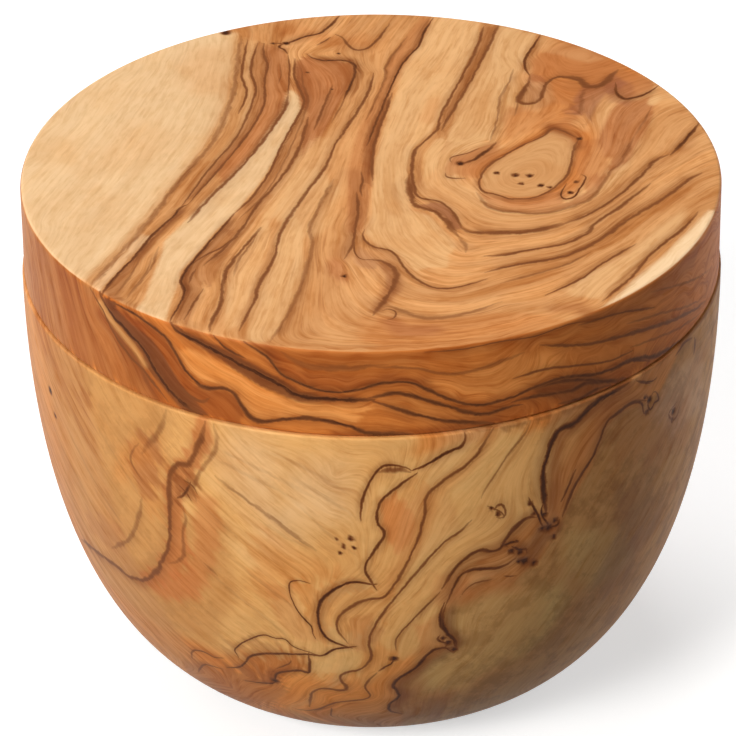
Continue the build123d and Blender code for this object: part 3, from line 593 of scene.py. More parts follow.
LID_SIDE_PATCHES = (
    Patch("lid ground", Tone.FOX, 0.9, 0.6, ((-120, 65), (-120, 80.4), (120, 80.4), (120, 65))),
    Patch("upper shade", Tone.BARK, 0.22, 1.4, ((-31, 79.4), (64, 79.4), (64, 76), (40, 76.6), (20, 77.6),
        (8, 77.4), (-8, 76.4), (-18, 78))),
    Patch("black flank", Tone.CHESTNUT, 0.75, 0.7, ((-47, 79), (-39.6, 77.6), (-37.5, 75.6), (-36.6, 73),
        (-34.4, 71), (-31.6, 69.4), (-27.4, 66), (-30, 66), (-34, 68.4), (-37.4, 71.8), (-40.6, 74.4),
        (-44.6, 76.4))),
    Patch("hump fill", Tone.CHESTNUT, 0.6, 0.6, ((-43, 78.4), (-38, 77.8), (-35, 77), (-33, 75.2),
        (-31.4, 72.6), (-29, 70.8), (-26.6, 70.4), (-24, 70.8), (-22, 70), (-20.6, 67.4), (-21, 66),
        (-28, 66), (-36, 72.6), (-39, 76.6))),
    Patch("lid glow left", Tone.APRICOT, 0.8, 0.6, ((-32, 75.6), (-30, 72.8), (-27.5, 71.4), (-24, 71.9),
        (-21.4, 71.2), (-19.8, 68.6), (-18, 67.6), (-12, 68.8), (-8, 68.8), (-3, 67.8), (0, 70.6),
        (-12, 71.4), (-24, 75.2), (-29, 76.4))),
    Patch("second flank", Tone.CHESTNUT, 0.7, 0.7, ((-31, 79), (-22, 77.4), (-18, 76), (-12, 73.2),
        (-13, 72.6), (-29, 77.6))),
    Patch("lid glow right", Tone.APRICOT, 0.45, 1.4, ((8, 74.6), (14, 74.8), (22, 75.8), (27, 75.6),
        (32, 73.6), (26, 71), (18, 70.6), (12, 72))),
    Patch("right low shade", Tone.CHESTNUT, 0.42, 0.8, ((12, 70.8), (20, 69.4), (30, 70.4), (50, 67),
        (50, 65.6), (18, 65.6), (14, 67.6))),
    Patch("split fill", Tone.MARIGOLD, 0.5, 0.6, ((2, 71.2), (5, 72), (9, 70.4), (14, 68.6), (17, 67.2),
        (8, 69))),
    Patch("left end", Tone.AMBER, 0.85, 2.0, ((-120, 65), (-120, 80.4), (-50, 80.4), (-46, 76), (-38, 69),
        (-36, 65))),
    Patch("left end shade", Tone.UMBER, 0.42, 2.0, ((-120, 65), (-120, 80.4), (-50, 80.4), (-46, 76),
        (-38, 69), (-36, 65))),
    Patch("black band", Tone.BARK, 0.85, 0.5, ((-48.4, 79.4), (-46.8, 77.2), (-44, 76), (-38.8, 72.8),
        (-38, 70.8), (-31.2, 65.8), (-26.4, 65.8), (-31.6, 70.4), (-34.8, 74), (-36.8, 75.6), (-42, 77.2),
        (-47.2, 79.4))),
    Patch("second band", Tone.BARK, 0.85, 0.4, ((-33.2, 79.4), (-27.6, 78.5), (-20.8, 76.6), (-14.4, 74.2),
        (-11.6, 72.6), (-6.8, 72.1), (0, 72), (0, 71.5), (-11.6, 71), (-17.6, 72.6), (-24.4, 75.8),
        (-28, 77), (-31.6, 78.7))),
    Patch("bark wedge", Tone.BARK, 0.6, 0.8, ((25.2, 70.4), (33.2, 70.6), (38, 69), (42.4, 66), (32.4, 66.2),
        (29.6, 67.4), (26.4, 69.4))),
    Patch("left tan", Tone.TAN, 0.4, 4.0, ((-181, 65), (-181, 80.4), (-64, 80.4), (-60, 72), (-58, 65))),
)

LID_SIDE_WASHES = (
    Wash("left soft", Tone.CHESTNUT, 1.6, 0.55, ((-48, 76), (-44, 74), (-40, 71), (-38, 68.6), (-36, 66.4))),
    Wash("left pale streak", Tone.GOLD, 0.9, 0.6, ((-48, 77.6), (-45, 75.6), (-41, 73.4), (-38.6, 71.2))),
    Wash("wave shade", Tone.CHESTNUT, 1.6, 0.55, ((-16, 78), (-13, 75.6), (-9, 74.4), (-3, 74.6), (3, 75.4),
        (8, 74.4))),
    Wash("seam line shade", Tone.CHESTNUT, 0.7, 0.6, ((-6, 66.2), (2, 66.3), (10, 66.3), (20, 66.5))),
)

BOWL_PATCHES = (
    Patch("bowl ground", Tone.GOLD, 0.8, 4.0, ((-60, 70), (8, 70), (2, 40), (-10, 20), (-60, 24))),
    Patch("left ground", Tone.SAND, 0.7, 4.0, ((-66, 70), (-33, 70), (-37, 50), (-31, 47), (-24, 49),
        (-24, 36), (-30, 24), (-44, 22), (-66, 24))),
    Patch("left bay", Tone.MARIGOLD, 0.25, 1.0, ((-36, 59), (-40.4, 57.6), (-42, 55), (-41.6, 52),
        (-40.6, 49), (-41, 46.5), (-39, 44), (-37, 46), (-34, 57))),
    Patch("left strip", Tone.BLUSH, 0.7, 0.8, ((-26.8, 65.8), (-26, 62.4), (-28.4, 57.6), (-31, 53.4),
        (-32.6, 48), (-32.2, 43.6), (-31.2, 41.2), (-34.4, 36.8), (-40.4, 31.6), (-46.4, 29.4),
        (-45.2, 32.4), (-39.8, 36.2), (-36.2, 42), (-35.6, 45.2), (-36, 48.8), (-35.6, 54), (-31.2, 58.6),
        (-29.2, 61.8), (-28.4, 65.8))),
    Patch("strip knot", Tone.UMBER, 0.6, 0.6, ((-34, 53.2), (-31.6, 55.6), (-29.2, 56), (-28.8, 54),
        (-30.4, 51.2), (-33.2, 50))),
    Patch("far left", Tone.TAN, 0.62, 3.0, ((-120, 70), (-54, 70), (-50, 50), (-46, 34), (-36, 16), (-36, 0),
        (-120, 0))),
    Patch("far left blush", Tone.RUST, 0.35, 1.0, ((-59.6, 37.2), (-52, 40), (-47.2, 40), (-47.6, 36.8),
        (-53.2, 33.6), (-58.4, 34))),
    Patch("bay blush", Tone.RUST, 0.6, 0.8, ((-42, 57.6), (-39.6, 59.6), (-36.8, 60), (-35.6, 58),
        (-36.4, 52.8), (-38.8, 48), (-40.8, 48.4), (-43.2, 53.2))),
    Patch("left blush high", Tone.RUST, 0.3, 0.8, ((-55.6, 60), (-52, 62.4), (-50.4, 61.2), (-53.2, 58),
        (-56, 57.6))),
    Patch("left blush low", Tone.BLUSH, 0.45, 1.6, ((-42.8, 30), (-35.2, 36), (-31.6, 38.4), (-30.4, 34.8),
        (-37.2, 30.4))),
    Patch("field blush", Tone.MARIGOLD, 0.35, 1.6, ((-20.4, 46.4), (-17.2, 48.4), (-5.6, 42), (-14.4, 38.4),
        (-17.6, 34.8), (-20.8, 37.2))),
    Patch("middle wood", Tone.GOLD, 0.72, 2.0, ((3.2, 60.4), (5.6, 62.4), (10.4, 63.6), (15.2, 64),
        (36.4, 62.8), (30, 54.8), (28.4, 49.2), (24, 46), (17.2, 43.2), (13.2, 38.4), (11.2, 30.4),
        (-1.2, 19.2), (-7.6, 21.2), (-4, 28.4), (-5.2, 34.8), (-2, 39.6), (0, 44.8), (2, 52), (0.8, 57.2))),
    Patch("red heart", Tone.EMBER, 0.8, 1.2, ((1, 56), (3, 56), (5.6, 54), (6.4, 51), (5.8, 48), (3.6, 46),
        (2, 48.6), (0.8, 53.6))),
    Patch("heart skirt", Tone.MARIGOLD, 0.3, 1.4, ((0.6, 56), (6, 59), (9, 56), (7.6, 50), (6, 45), (3, 40),
        (0, 38.6), (-1, 42), (0, 46), (1.6, 50))),
    Patch("bend fill", Tone.GOLD, 0.5, 0.8, ((-9.8, 33), (-8.8, 37), (-6, 39.6), (-1, 38), (-4, 36),
        (-6, 34), (-6.6, 31.6), (-5.4, 29), (-7.6, 29.8), (-9.4, 31.4))),
    Patch("between fourth and fifth", Tone.GOLD, 0.55, 0.8, ((19, 65.4), (25, 65.4), (22, 61), (18, 56),
        (16, 51), (11, 47), (6, 40), (2, 35.6), (-1, 31), (-2, 36.8), (1.8, 38.6), (5.6, 45), (8, 52),
        (8.4, 55.6), (12, 59), (16.6, 62))),
    Patch("centre pale", Tone.HONEY, 0.35, 2.0, ((5, 55), (9, 57), (12, 54), (14, 50), (9, 46), (5, 44),
        (3, 47))),
    Patch("right field", Tone.ASH, 0.85, 1.0, ((59.6, 66), (52.8, 60.6), (47.2, 60.6), (42.4, 61.2),
        (39.2, 60), (36.8, 54), (32.8, 49.2), (31.6, 46.4), (28.4, 40.8), (23.2, 38), (18.8, 40),
        (15.2, 38.6), (12.6, 35.6), (12.2, 32), (14.4, 27.6), (5, 20.4), (3.6, 18.4), (4.6, 16), (2.8, 12.6),
        (5.6, 10.4), (7, 0), (181, 0), (181, 66))),
    Patch("arm wood", Tone.AMBER, 0.55, 0.8, ((30, 62.4), (36, 64), (44, 65.6), (56, 65), (52, 61.4),
        (47.6, 61), (42.4, 61.6), (39.2, 60), (37, 55), (31, 46.6), (29, 50), (28.8, 56))),
    Patch("red low", Tone.UMBER, 0.3, 2.6, ((14, 37.6), (18.8, 39.2), (24.4, 38), (30, 29.2), (27.2, 22.8),
        (18.8, 22.8), (14, 27.6))),
    Patch("olive heart", Tone.OLIVE, 0.4, 3.5, ((33.2, 44.4), (45.2, 39.6), (51.6, 31.6), (47.6, 29.2),
        (38, 32), (32.4, 39.6))),
    Patch("dark cloud", Tone.BARK, 0.3, 3.0, ((42.4, 49.2), (53.6, 44.4), (61.6, 33.2), (53.6, 32),
        (45.2, 39.6))),
    Patch("dark cloud low", Tone.BARK, 0.1, 3.0, ((34.4, 30.4), (43.2, 28.4), (51.6, 20), (43.6, 19.2),
        (34.4, 24.8))),
    Patch("cloud right", Tone.BARK, 0.45, 3.0, ((44, 38), (52, 36), (53, 28), (46, 26), (42, 31))),
    Patch("low glow", Tone.OLIVE, 0.32, 3.0, ((18, 26), (26, 30), (34, 36), (36, 30), (30, 22), (18, 15),
        (9, 14), (9, 19))),
    Patch("strip side", Tone.BLUSH, 0.5, 1.6, ((-29.6, 53.2), (-26, 52.4), (-25.2, 47.2), (-27.6, 39.2),
        (-32.4, 32), (-40, 29.2), (-43.2, 30.8), (-33.6, 37.6), (-30.4, 44), (-30.4, 49.2))),
    Patch("low rose", Tone.EMBER, 0.38, 3.0, ((14, 38), (20, 40), (26, 36), (31, 31), (31, 25), (23, 18),
        (14, 14), (10, 15), (12, 22), (15, 28))),
    Patch("rose top", Tone.ROSE, 0.42, 3.5, ((56, 62.6), (67.6, 60), (72, 48.8), (59.2, 50.4),
        (51.2, 57.2))),
    Patch("right foot", Tone.UMBER, 0.42, 2.4, ((5, 18), (11, 20), (15, 16), (15, 9), (5, 9), (3.4, 13))),
    Patch("lower left", Tone.MARIGOLD, 0.6, 2.6, ((-29, 20), (-24, 23.6), (-14, 24.6), (-11, 20), (-6, 16),
        (-10, 9), (-24, 8), (-38, 9), (-38, 16))),
    Patch("island", Tone.FOX, 0.6, 0.8, ((-12.4, 25.2), (-23, 23), (-26, 19.6), (-25, 16.6), (-20.4, 17.4),
        (-19.4, 19.4), (-15, 21.4), (-12.6, 21.6))),
    Patch("beak pale", Tone.GOLD, 0.7, 0.8, ((-9.6, 25.2), (-7, 27), (-4.6, 27.4), (-2, 25.6), (-4, 22.8),
        (-9, 21.6), (-11.6, 22.6))),
    Patch("centre low", Tone.MARIGOLD, 0.55, 1.6, ((-1, 28), (3.6, 27), (8, 25), (4, 20.4), (3.4, 18),
        (4, 16), (2, 12), (-10, 10), (-12, 14), (-8, 17), (-5.6, 18), (-6.6, 21), (-3, 23))),
    # Darker towards the foot: partly the wood's own tone, partly painted shade where the wall rolls under.
    Patch("foot shade", Tone.UMBER, 0.3, 4.0, ((-50, 8), (-20, 9), (8, 10), (8, 0), (-50, 0))),
    Patch("foot dark", Tone.UMBER, 0.5, 1.6, ((-42.8, 16), (-35.6, 16.8), (-26.8, 19.2), (-19.2, 20.4),
        (-17.2, 16), (-24, 9.6), (-38.4, 5.6), (-47.6, 7.2))),
    Patch("hook wood", Tone.MARIGOLD, 0.45, 0.8, ((-13.6, 40), (-11.6, 40.8), (-9.6, 38.8), (-6.4, 40.4),
        (-3.6, 40.8), (-6.4, 39.6), (-8.8, 37.2), (-9.2, 33.2), (-8, 29.2), (-9.2, 28), (-10.8, 30.8),
        (-12, 34.4), (-13.2, 36.8))),
    # Painted shade: darkens the bowl's rim edge at the seam on the right, to tone down the light that the
    # ledge catches there.
    Patch("rim painted shade", Tone.BARK, 0.5, 0.4, ((14, 66.4), (14, 65.1), (120, 65.1), (120, 66.4))),
    Patch("low shine", Tone.OLIVE, 0.55, 4.0, ((10.8, 34.8), (19.6, 36.4), (30, 35.2), (36.8, 30),
        (32.8, 22.8), (24, 19.6), (16.8, 16.4), (9.6, 16), (8, 25.6))),
    Patch("neck ember", Tone.EMBER, 0.4, 1.2, ((6.4, 32.4), (10.8, 33.2), (12.8, 26), (8.8, 24))),
    Patch("dome glow", Tone.BLUSH, 0.3, 1.6, ((9.6, 41.6), (14.8, 41.6), (17.2, 36), (12, 33.6),
        (9.2, 36.4))),
    Patch("island shade", Tone.UMBER, 0.35, 1.0, ((-29.2, 23.6), (-20.4, 27.2), (-12.4, 25.2), (-14, 20.8),
        (-22.8, 16.8), (-28, 18.8))),
    Patch("ember fleck", Tone.RUST, 0.5, 0.9, ((-4.4, 33.2), (-0.4, 34.4), (1.2, 30.8), (-1.2, 27.2),
        (-4, 28.4))),
    Patch("arc wood", Tone.MARIGOLD, 0.4, 1.0, ((-8.4, 36.8), (-4.8, 39.2), (1.6, 39.6), (3.6, 37.2),
        (1.6, 33.2), (-5.2, 30.4), (-8.8, 32.8))),
    Patch("hook field", Tone.BLUSH, 0.3, 1.4, ((-18.8, 38.8), (-13.2, 40), (-12.8, 36), (-10, 28.8),
        (-13.2, 28), (-16.8, 31.6))),
    Patch("upper shade", Tone.RUST, 0.3, 2.5, ((37.6, 64.4), (47.2, 62.8), (64, 54), (65.2, 46), (56, 46.4),
        (43.6, 52.4), (36.8, 58.8))),
)

BOWL_WASHES = (
    Wash("pale heart", Tone.IVORY, 7.0, 0.35, ((-20, 60), (-16, 50), (-10, 56))),
    Wash("bay fade", Tone.MARIGOLD, 2.4, 0.4, ((-40, 57), (-44, 53), (-46, 50))),
    Wash("coast shade", Tone.BARK, 1.6, 0.6, ((12.6, 34), (12.6, 31), (14.6, 27.6), (12, 25.6), (9, 23.6),
        (6.4, 20.6), (5, 18.4), (5.6, 16), (4, 13.4))),
    Wash("black shade", Tone.UMBER, 1.6, 0.5, ((44, 64.4), (36, 63.2), (31, 61.4), (29.8, 57), (29.6, 51),
        (30, 46))),
    Wash("knot shade", Tone.BARK, 2.0, 0.6, ((24, 43.6), (26, 41), (28, 45), (30, 45))),
    Wash("arm shade", Tone.UMBER, 1.8, 0.55, ((26, 48), (22, 45.4), (17, 43.4), (13.4, 41), (12, 37))),
    Wash("fourth shade", Tone.MARIGOLD, 1.4, 0.4, ((18.4, 64), (15, 60), (9, 56), (7.4, 50), (4.6, 43.4),
        (2, 38.4))),
    Wash("step shade", Tone.UMBER, 1.0, 0.25, ((-2, 39.6), (-6, 39), (-8.4, 36), (-9, 33), (-7.6, 30.4))),
)

LID_TOP_PITS = (
    Pit("drop speck one", (18.3, -0.7), 0.6, 0.05),
    Pit("drop speck two", (21, -1.4), 0.7, 0.06),
    Pit("drop speck three", (23.1, -1.6), 0.65, 0.06),
    Pit("drop speck four", (24.6, -4.6), 0.6, 0.05),
    Pit("drop speck five", (21.8, -4), 0.5, 0.04),
    Pit("eye speck high", (29.8, -3.6), 0.5, 0.05),
    Pit("drop speck six", (25.9, -5.2), 0.5, 0.05),
    Pit("eye speck", (28.8, -6.8), 0.6, 0.05),
    Pit("left eye speck", (13.1, 2.3), 0.8, 0.06),
    Pit("drop tip", (30.8, 9.5), 0.6, 0.04),
    Pit("back blot", (-12.7, 41.2), 0.7, 0.04),
    Pit("back blot left", (-14.7, 41.2), 0.5, 0.04),
    Pit("dome speck", (-9.4, 31.5), 0.4, 0.04),
    Pit("dome speck low", (-5.7, 26), 0.4, 0.04),
    Pit("dome speck top", (-4.7, 37.6), 0.4, 0.04),
    Pit("front speck", (-3.9, -30.3), 0.5, 0.05),
    Pit("rim blot", (-22, 45), 1.0, 0.05),
)

BOWL_PITS = (
    Pit("black knot high", (25.6, 51.2), 0.58, 0.15),
    Pit("black knot step", (26.4, 49.2), 0.58, 0.15),
    Pit("black knot neck", (28.4, 48.4), 0.65, 0.2),
    Pit("black knot", (29.6, 45.6), 0.94, 0.35),
    Pit("black knot right", (30.6, 46.8), 0.58, 0.2),
    Pit("black knot left", (28.2, 46), 0.72, 0.2),
    Pit("black knot low", (30.6, 43.8), 0.58, 0.2),
    Pit("knot left far", (21.6, 44.8), 0.5, 0.15),
    Pit("knot left", (22.8, 43.4), 0.72, 0.2),
    Pit("knot middle", (24.4, 42.8), 0.72, 0.2),
    Pit("knot low", (25.6, 40.8), 0.94, 0.25),
    Pit("knot low right", (27.2, 40), 0.79, 0.2),
    Pit("knot mid low", (24.4, 41.2), 0.58, 0.15),
    Pit("knot top", (23.4, 45), 0.43, 0.1),
    Pit("coast blot top", (11.8, 28.8), 0.65, 0.08),
    Pit("coast blot", (12.8, 27.6), 0.79, 0.08),
    Pit("coast blot low", (14, 26), 0.79, 0.08),
    Pit("field knot", (18.8, 52), 0.5, 0.05),
    Pit("field knot low", (20, 50.8), 0.58, 0.05),
    Pit("far eye high", (48.8, 61.2), 0.5, 0.1),
    Pit("far eye", (50, 60.2), 0.79, 0.2),
    Pit("far eye low", (49.4, 58.4), 0.65, 0.1),
    Pit("last eye", (57.6, 54.8), 0.79, 0.15),
    Pit("last eye low", (57.4, 53.4), 0.58, 0.1),
    Pit("left ring knot", (-66, 55.4), 0.77, 0.05),
    Pit("left ring knot low", (-65, 51.6), 0.56, 0.05),
    Pit("fleck one", (-3.8, 48.7), 0.6, 0.04),
    Pit("fleck two", (-5, 47.3), 0.5, 0.04),
    Pit("fleck three", (-5.4, 46), 0.4, 0.04),
    Pit("fleck four", (-3.2, 47), 0.4, 0.04),
    Pit("fleck five", (-6.2, 48.4), 0.35, 0.04),
    Pit("tail fleck", (3.2, 25.2), 0.8, 0.05),
    Pit("island blot", (-19.8, 18), 0.9, 0.05),
)


# ---------------------------------------------------------------------------------------- turned shapes


@dataclass(frozen=True)
class Ring:
    """One ring of a turned shape: radius and height, and the mesh step on its front and on its back."""

    radius: float
    height: float
    front: float
    back: float


class Lathe:
    """Turns a list of rings into a closed mesh, finer on the front than on the back."""

    front_arc = 212.0
    front_share = 24
    back_share = 12

    def __init__(self, rings: Sequence[Ring]) -> None:
        """Keep the rings, which run from one end of the axis to the other with the wood on their right."""
        self.rings = list(rings)

    def angles(self, ring: Ring) -> np.ndarray:
        """The places round one ring.

        Args:
            ring: The ring to divide.

        Returns:
            Angles in degrees from the front, rising towards the right.
        """
        if ring.radius < 0.01:
            return np.zeros(1)
        half = self.front_arc / 2
        girth = math.tau * ring.radius / 360
        front = self.front_share * max(1, round(girth * self.front_arc / ring.front / self.front_share))
        back = self.back_share * max(1, round(girth * (360 - self.front_arc) / ring.back / self.back_share))
        ahead = np.linspace(-half, half, front, endpoint=False)
        behind = np.linspace(half, 360 - half, back, endpoint=False)
        return np.concatenate([ahead, behind])

    @staticmethod
    def zip_rings(first: np.ndarray, second: np.ndarray, start: int, after: int) -> list[tuple[int, ...]]:
        """Join two rings with quads, or with triangles where their counts differ.

        Args:
            first: Angles of the first ring.
            second: Angles of the second ring.
            start: Index of the first ring's first vertex.
            after: Index of the second ring's first vertex.

        Returns:
            Faces as vertex indices.
        """
        n, m = len(first), len(second)
        if n == m and n > 1:
            return [(start + i, after + i, after + (i + 1) % n, start + (i + 1) % n) for i in range(n)]
        if n == 1:
            return [(start, after + j, after + (j + 1) % m) for j in range(m)]
        if m == 1:
            return [(start + i, after, start + (i + 1) % n) for i in range(n)]
        faces = []
        i = j = 0
        turn_first = np.append(first, first[0] + 360)
        turn_second = np.append(second, second[0] + 360)
        while i < n or j < m:
            if j == m or (i < n and turn_first[i + 1] <= turn_second[j + 1]):
                faces.append((start + i, after + j % m, start + (i + 1) % n))
                i += 1
            else:
                faces.append((start + i % n, after + j, after + (j + 1) % m))
                j += 1
        return faces

    def mesh(self, name: str) -> bpy.types.Mesh:
        """Build the mesh, in metres.

        Args:
            name: The mesh's name.

        Returns:
            The new mesh.
        """
        places, faces, start, last = [], [], 0, None
        for ring in self.rings:
            turn = self.angles(ring)
            across = np.radians(turn)
            height = np.full(len(turn), ring.height)
            places.append(np.stack([ring.radius * np.sin(across), -ring.radius * np.cos(across), height], 1))
            if last is not None:
                faces += self.zip_rings(last, turn, start - len(last), start)
            last = turn
            start += len(turn)
        made = bpy.data.meshes.new(name)
        made.from_pydata(np.concatenate(places) * MM, [], faces)
        return made


@dataclass(frozen=True)
class Profile:
    """Half of a turned outline, as (radius, height) points."""

    points: tuple[tuple[float, float], ...]

    @staticmethod
    def line(start: tuple[float, float], end: tuple[float, float], step: float) -> "Profile":
        """Points along a straight run, without its last one.

        Args:
            start: Where it starts, as (radius, height).
            end: Where it ends.
            step: About how far apart the points are.

        Returns:
            The points as a profile.
        """
        count = max(1, round(math.dist(start, end) / step))
        run, rise = end[0] - start[0], end[1] - start[1]
        shares = np.linspace(0, 1, count, endpoint=False)
        return Profile(tuple((start[0] + s * run, start[1] + s * rise) for s in shares))

    @staticmethod
    def arc(centre: tuple[float, float], radius: float, first: float, last: float, count: int) -> "Profile":
        """Points round a small edge, from one angle to the other in degrees, without the last one.

        Args:
            centre: The middle of the round.
            radius: Its radius.
            first: The angle it starts at.
            last: The angle it ends at.
            count: How many points.

        Returns:
            The points as a profile.
        """
        x, z = centre
        turns = np.radians(np.linspace(first, last, count, endpoint=False))
        return Profile(tuple((x + radius * math.cos(t), z + radius * math.sin(t)) for t in turns))

    @staticmethod
    def bend(corners: Sequence[tuple[float, float]], step: float) -> "Profile":
        """Points at an even step along a cubic bend with four control points, without the last one.

        Args:
            corners: The four control points.
            step: About how far apart the points are.

        Returns:
            The points as a profile.
        """
        shares = np.linspace(0, 1, 400)[:, None]
        a, b, c, d = (np.array(p, float) for p in corners)
        rest = 1 - shares
        path = rest**3 * a + 3 * rest**2 * shares * b + 3 * rest * shares**2 * c + shares**3 * d
        run = np.concatenate([[0], np.cumsum(np.linalg.norm(np.diff(path, axis=0), axis=1))])
        wanted = np.linspace(0, run[-1], max(2, round(run[-1] / step)), endpoint=False)
        return Profile(tuple(zip(np.interp(wanted, run, path[:, 0]), np.interp(wanted, run, path[:, 1]))))

    def rings(self, front: float, back: float) -> list[Ring]:
        """The profile's points as rings with these mesh steps."""
        return [Ring(float(r), float(z), front, back) for r, z in self.points]


# ------------------------------------------------------------------------------------ figure of the wood


def bearing(places: np.ndarray) -> np.ndarray:
    """The angle of each place round the axis, in radians from the front towards the right."""
    return np.arctan2(places[:, 0], -places[:, 1])


def edge_ends(mesh: bpy.types.Mesh) -> np.ndarray:
    """The first ends of a mesh's edges and their second ends, as two rows of vertex indices.

    Args:
        mesh: The mesh.

    Returns:
        Two rows, as long as there are edges.
    """
    ends = np.empty(len(mesh.edges) * 2, np.int32)
    mesh.edges.foreach_get("vertices", ends)
    return ends.reshape(-1, 2).T


def curve_through(points: np.ndarray, step: float) -> np.ndarray:
    """A smooth run through points, centripetal so that it never loops at a tight corner.

    Args:
        points: The points, one row each.
        step: Largest distance between the points returned.

    Returns:
        Points along the run.
    """
    gaps = np.sqrt(np.maximum(np.linalg.norm(np.diff(points, axis=0), axis=1), 1e-9))
    knots = np.concatenate([[0], np.cumsum(gaps)])
    slopes = np.diff(points, axis=0) / gaps[:, None]
    tangents = np.empty_like(points)
    tangents[0], tangents[-1] = slopes[0], slopes[-1]
    weight = gaps[:, None]
    tangents[1:-1] = (slopes[:-1] * weight[1:] + slopes[1:] * weight[:-1]) / (weight[1:] + weight[:-1])
    made = []
    for i, gap in enumerate(gaps):
        count = max(2, math.ceil(gap * gap / step))
        s = np.linspace(0, 1, count, endpoint=False)[:, None]
        made.append((2 * s**3 - 3 * s**2 + 1) * points[i] + (s**3 - 2 * s**2 + s) * gap * tangents[i]
                    + (3 * s**2 - 2 * s**3) * points[i + 1] + (s**3 - s**2) * gap * tangents[i + 1])
    return np.concatenate([*made, points[-1:]])


@dataclass
class Line:
    """A stroke laid on the turned surface: places, directions, outward normals, half width, depth."""

    stroke: Stroke
    places: np.ndarray
    normals: np.ndarray
    headings: np.ndarray = field(init=False)
    halves: np.ndarray = field(init=False)
    depths: np.ndarray = field(init=False)

    taper = 3.0
    thin = 0.35

    def __post_init__(self) -> None:
        """Work out the direction, and thin the line towards both of its ends."""
        ahead = np.gradient(self.places, axis=0)
        self.headings = ahead / np.maximum(np.linalg.norm(ahead, axis=1), 1e-9)[:, None]
        steps = np.linalg.norm(np.diff(self.places, axis=0), axis=1)
        run = np.concatenate([[0], np.cumsum(steps)])
        room = np.minimum(run, run[-1] - run) / min(self.taper, run[-1] / 3)
        full = self.thin + (1 - self.thin) * np.sqrt(np.clip(room, 0, 1))
        self.halves = self.stroke.width / 2 * full
        self.depths = np.full(len(run), self.stroke.ink.value) * (0.6 + 0.4 * np.clip(room, 0, 1))


class Surface:
    """Places on the outside of the keeper, from plan points on the lid's top or (angle, height) points."""

    def __init__(self, top: float, wall: Sequence[tuple[float, float]]) -> None:
        """Keep the height of the top and the outside wall as (radius, height) points from top to foot.

        Args:
            top: Height of the flat top.
            wall: The outside wall.
        """
        self.top = top
        outline = np.array(wall, float)[::-1]
        self.heights, self.radii = outline[:, 1], outline[:, 0]
        slope = np.gradient(self.radii, self.heights)
        self.tilts = -slope / np.sqrt(1 + slope**2)

    def on_top(self, points: np.ndarray) -> tuple[np.ndarray, np.ndarray]:
        """Plan points as places on the flat top, with normals."""
        places = np.column_stack([points, np.full(len(points), self.top)])
        return places, np.tile([0.0, 0.0, 1.0], (len(points), 1))

    def on_wall(self, points: np.ndarray) -> tuple[np.ndarray, np.ndarray]:
        """(angle in degrees, height) points as places on the outside wall, with normals.

        Args:
            points: The points, one row each.

        Returns:
            Places and outward normals, one row each.
        """
        turn = np.radians(points[:, 0])
        radius = np.interp(points[:, 1], self.heights, self.radii)
        tilt = np.interp(points[:, 1], self.heights, self.tilts)
        flat = np.sqrt(1 - tilt**2)
        places = np.column_stack([radius * np.sin(turn), -radius * np.cos(turn), points[:, 1]])
        return places, np.column_stack([flat * np.sin(turn), -flat * np.cos(turn), tilt])

    def line(self, stroke: Stroke, top: bool, step: float = 0.22) -> Line:
        """Lay one stroke on the top or on the wall.

        Args:
            stroke: The stroke.
            top: Whether it is on the flat top.
            step: Largest distance between its points.

        Returns:
            The line.
        """
        given = np.array(stroke.points, float)
        if top:
            return Line(stroke, *self.on_top(curve_through(given, step)))
        flat = given * [math.radians(1) * self.radii.max(), 1]
        run = curve_through(flat, step) / [math.radians(1) * self.radii.max(), 1]
        return Line(stroke, *self.on_wall(run))


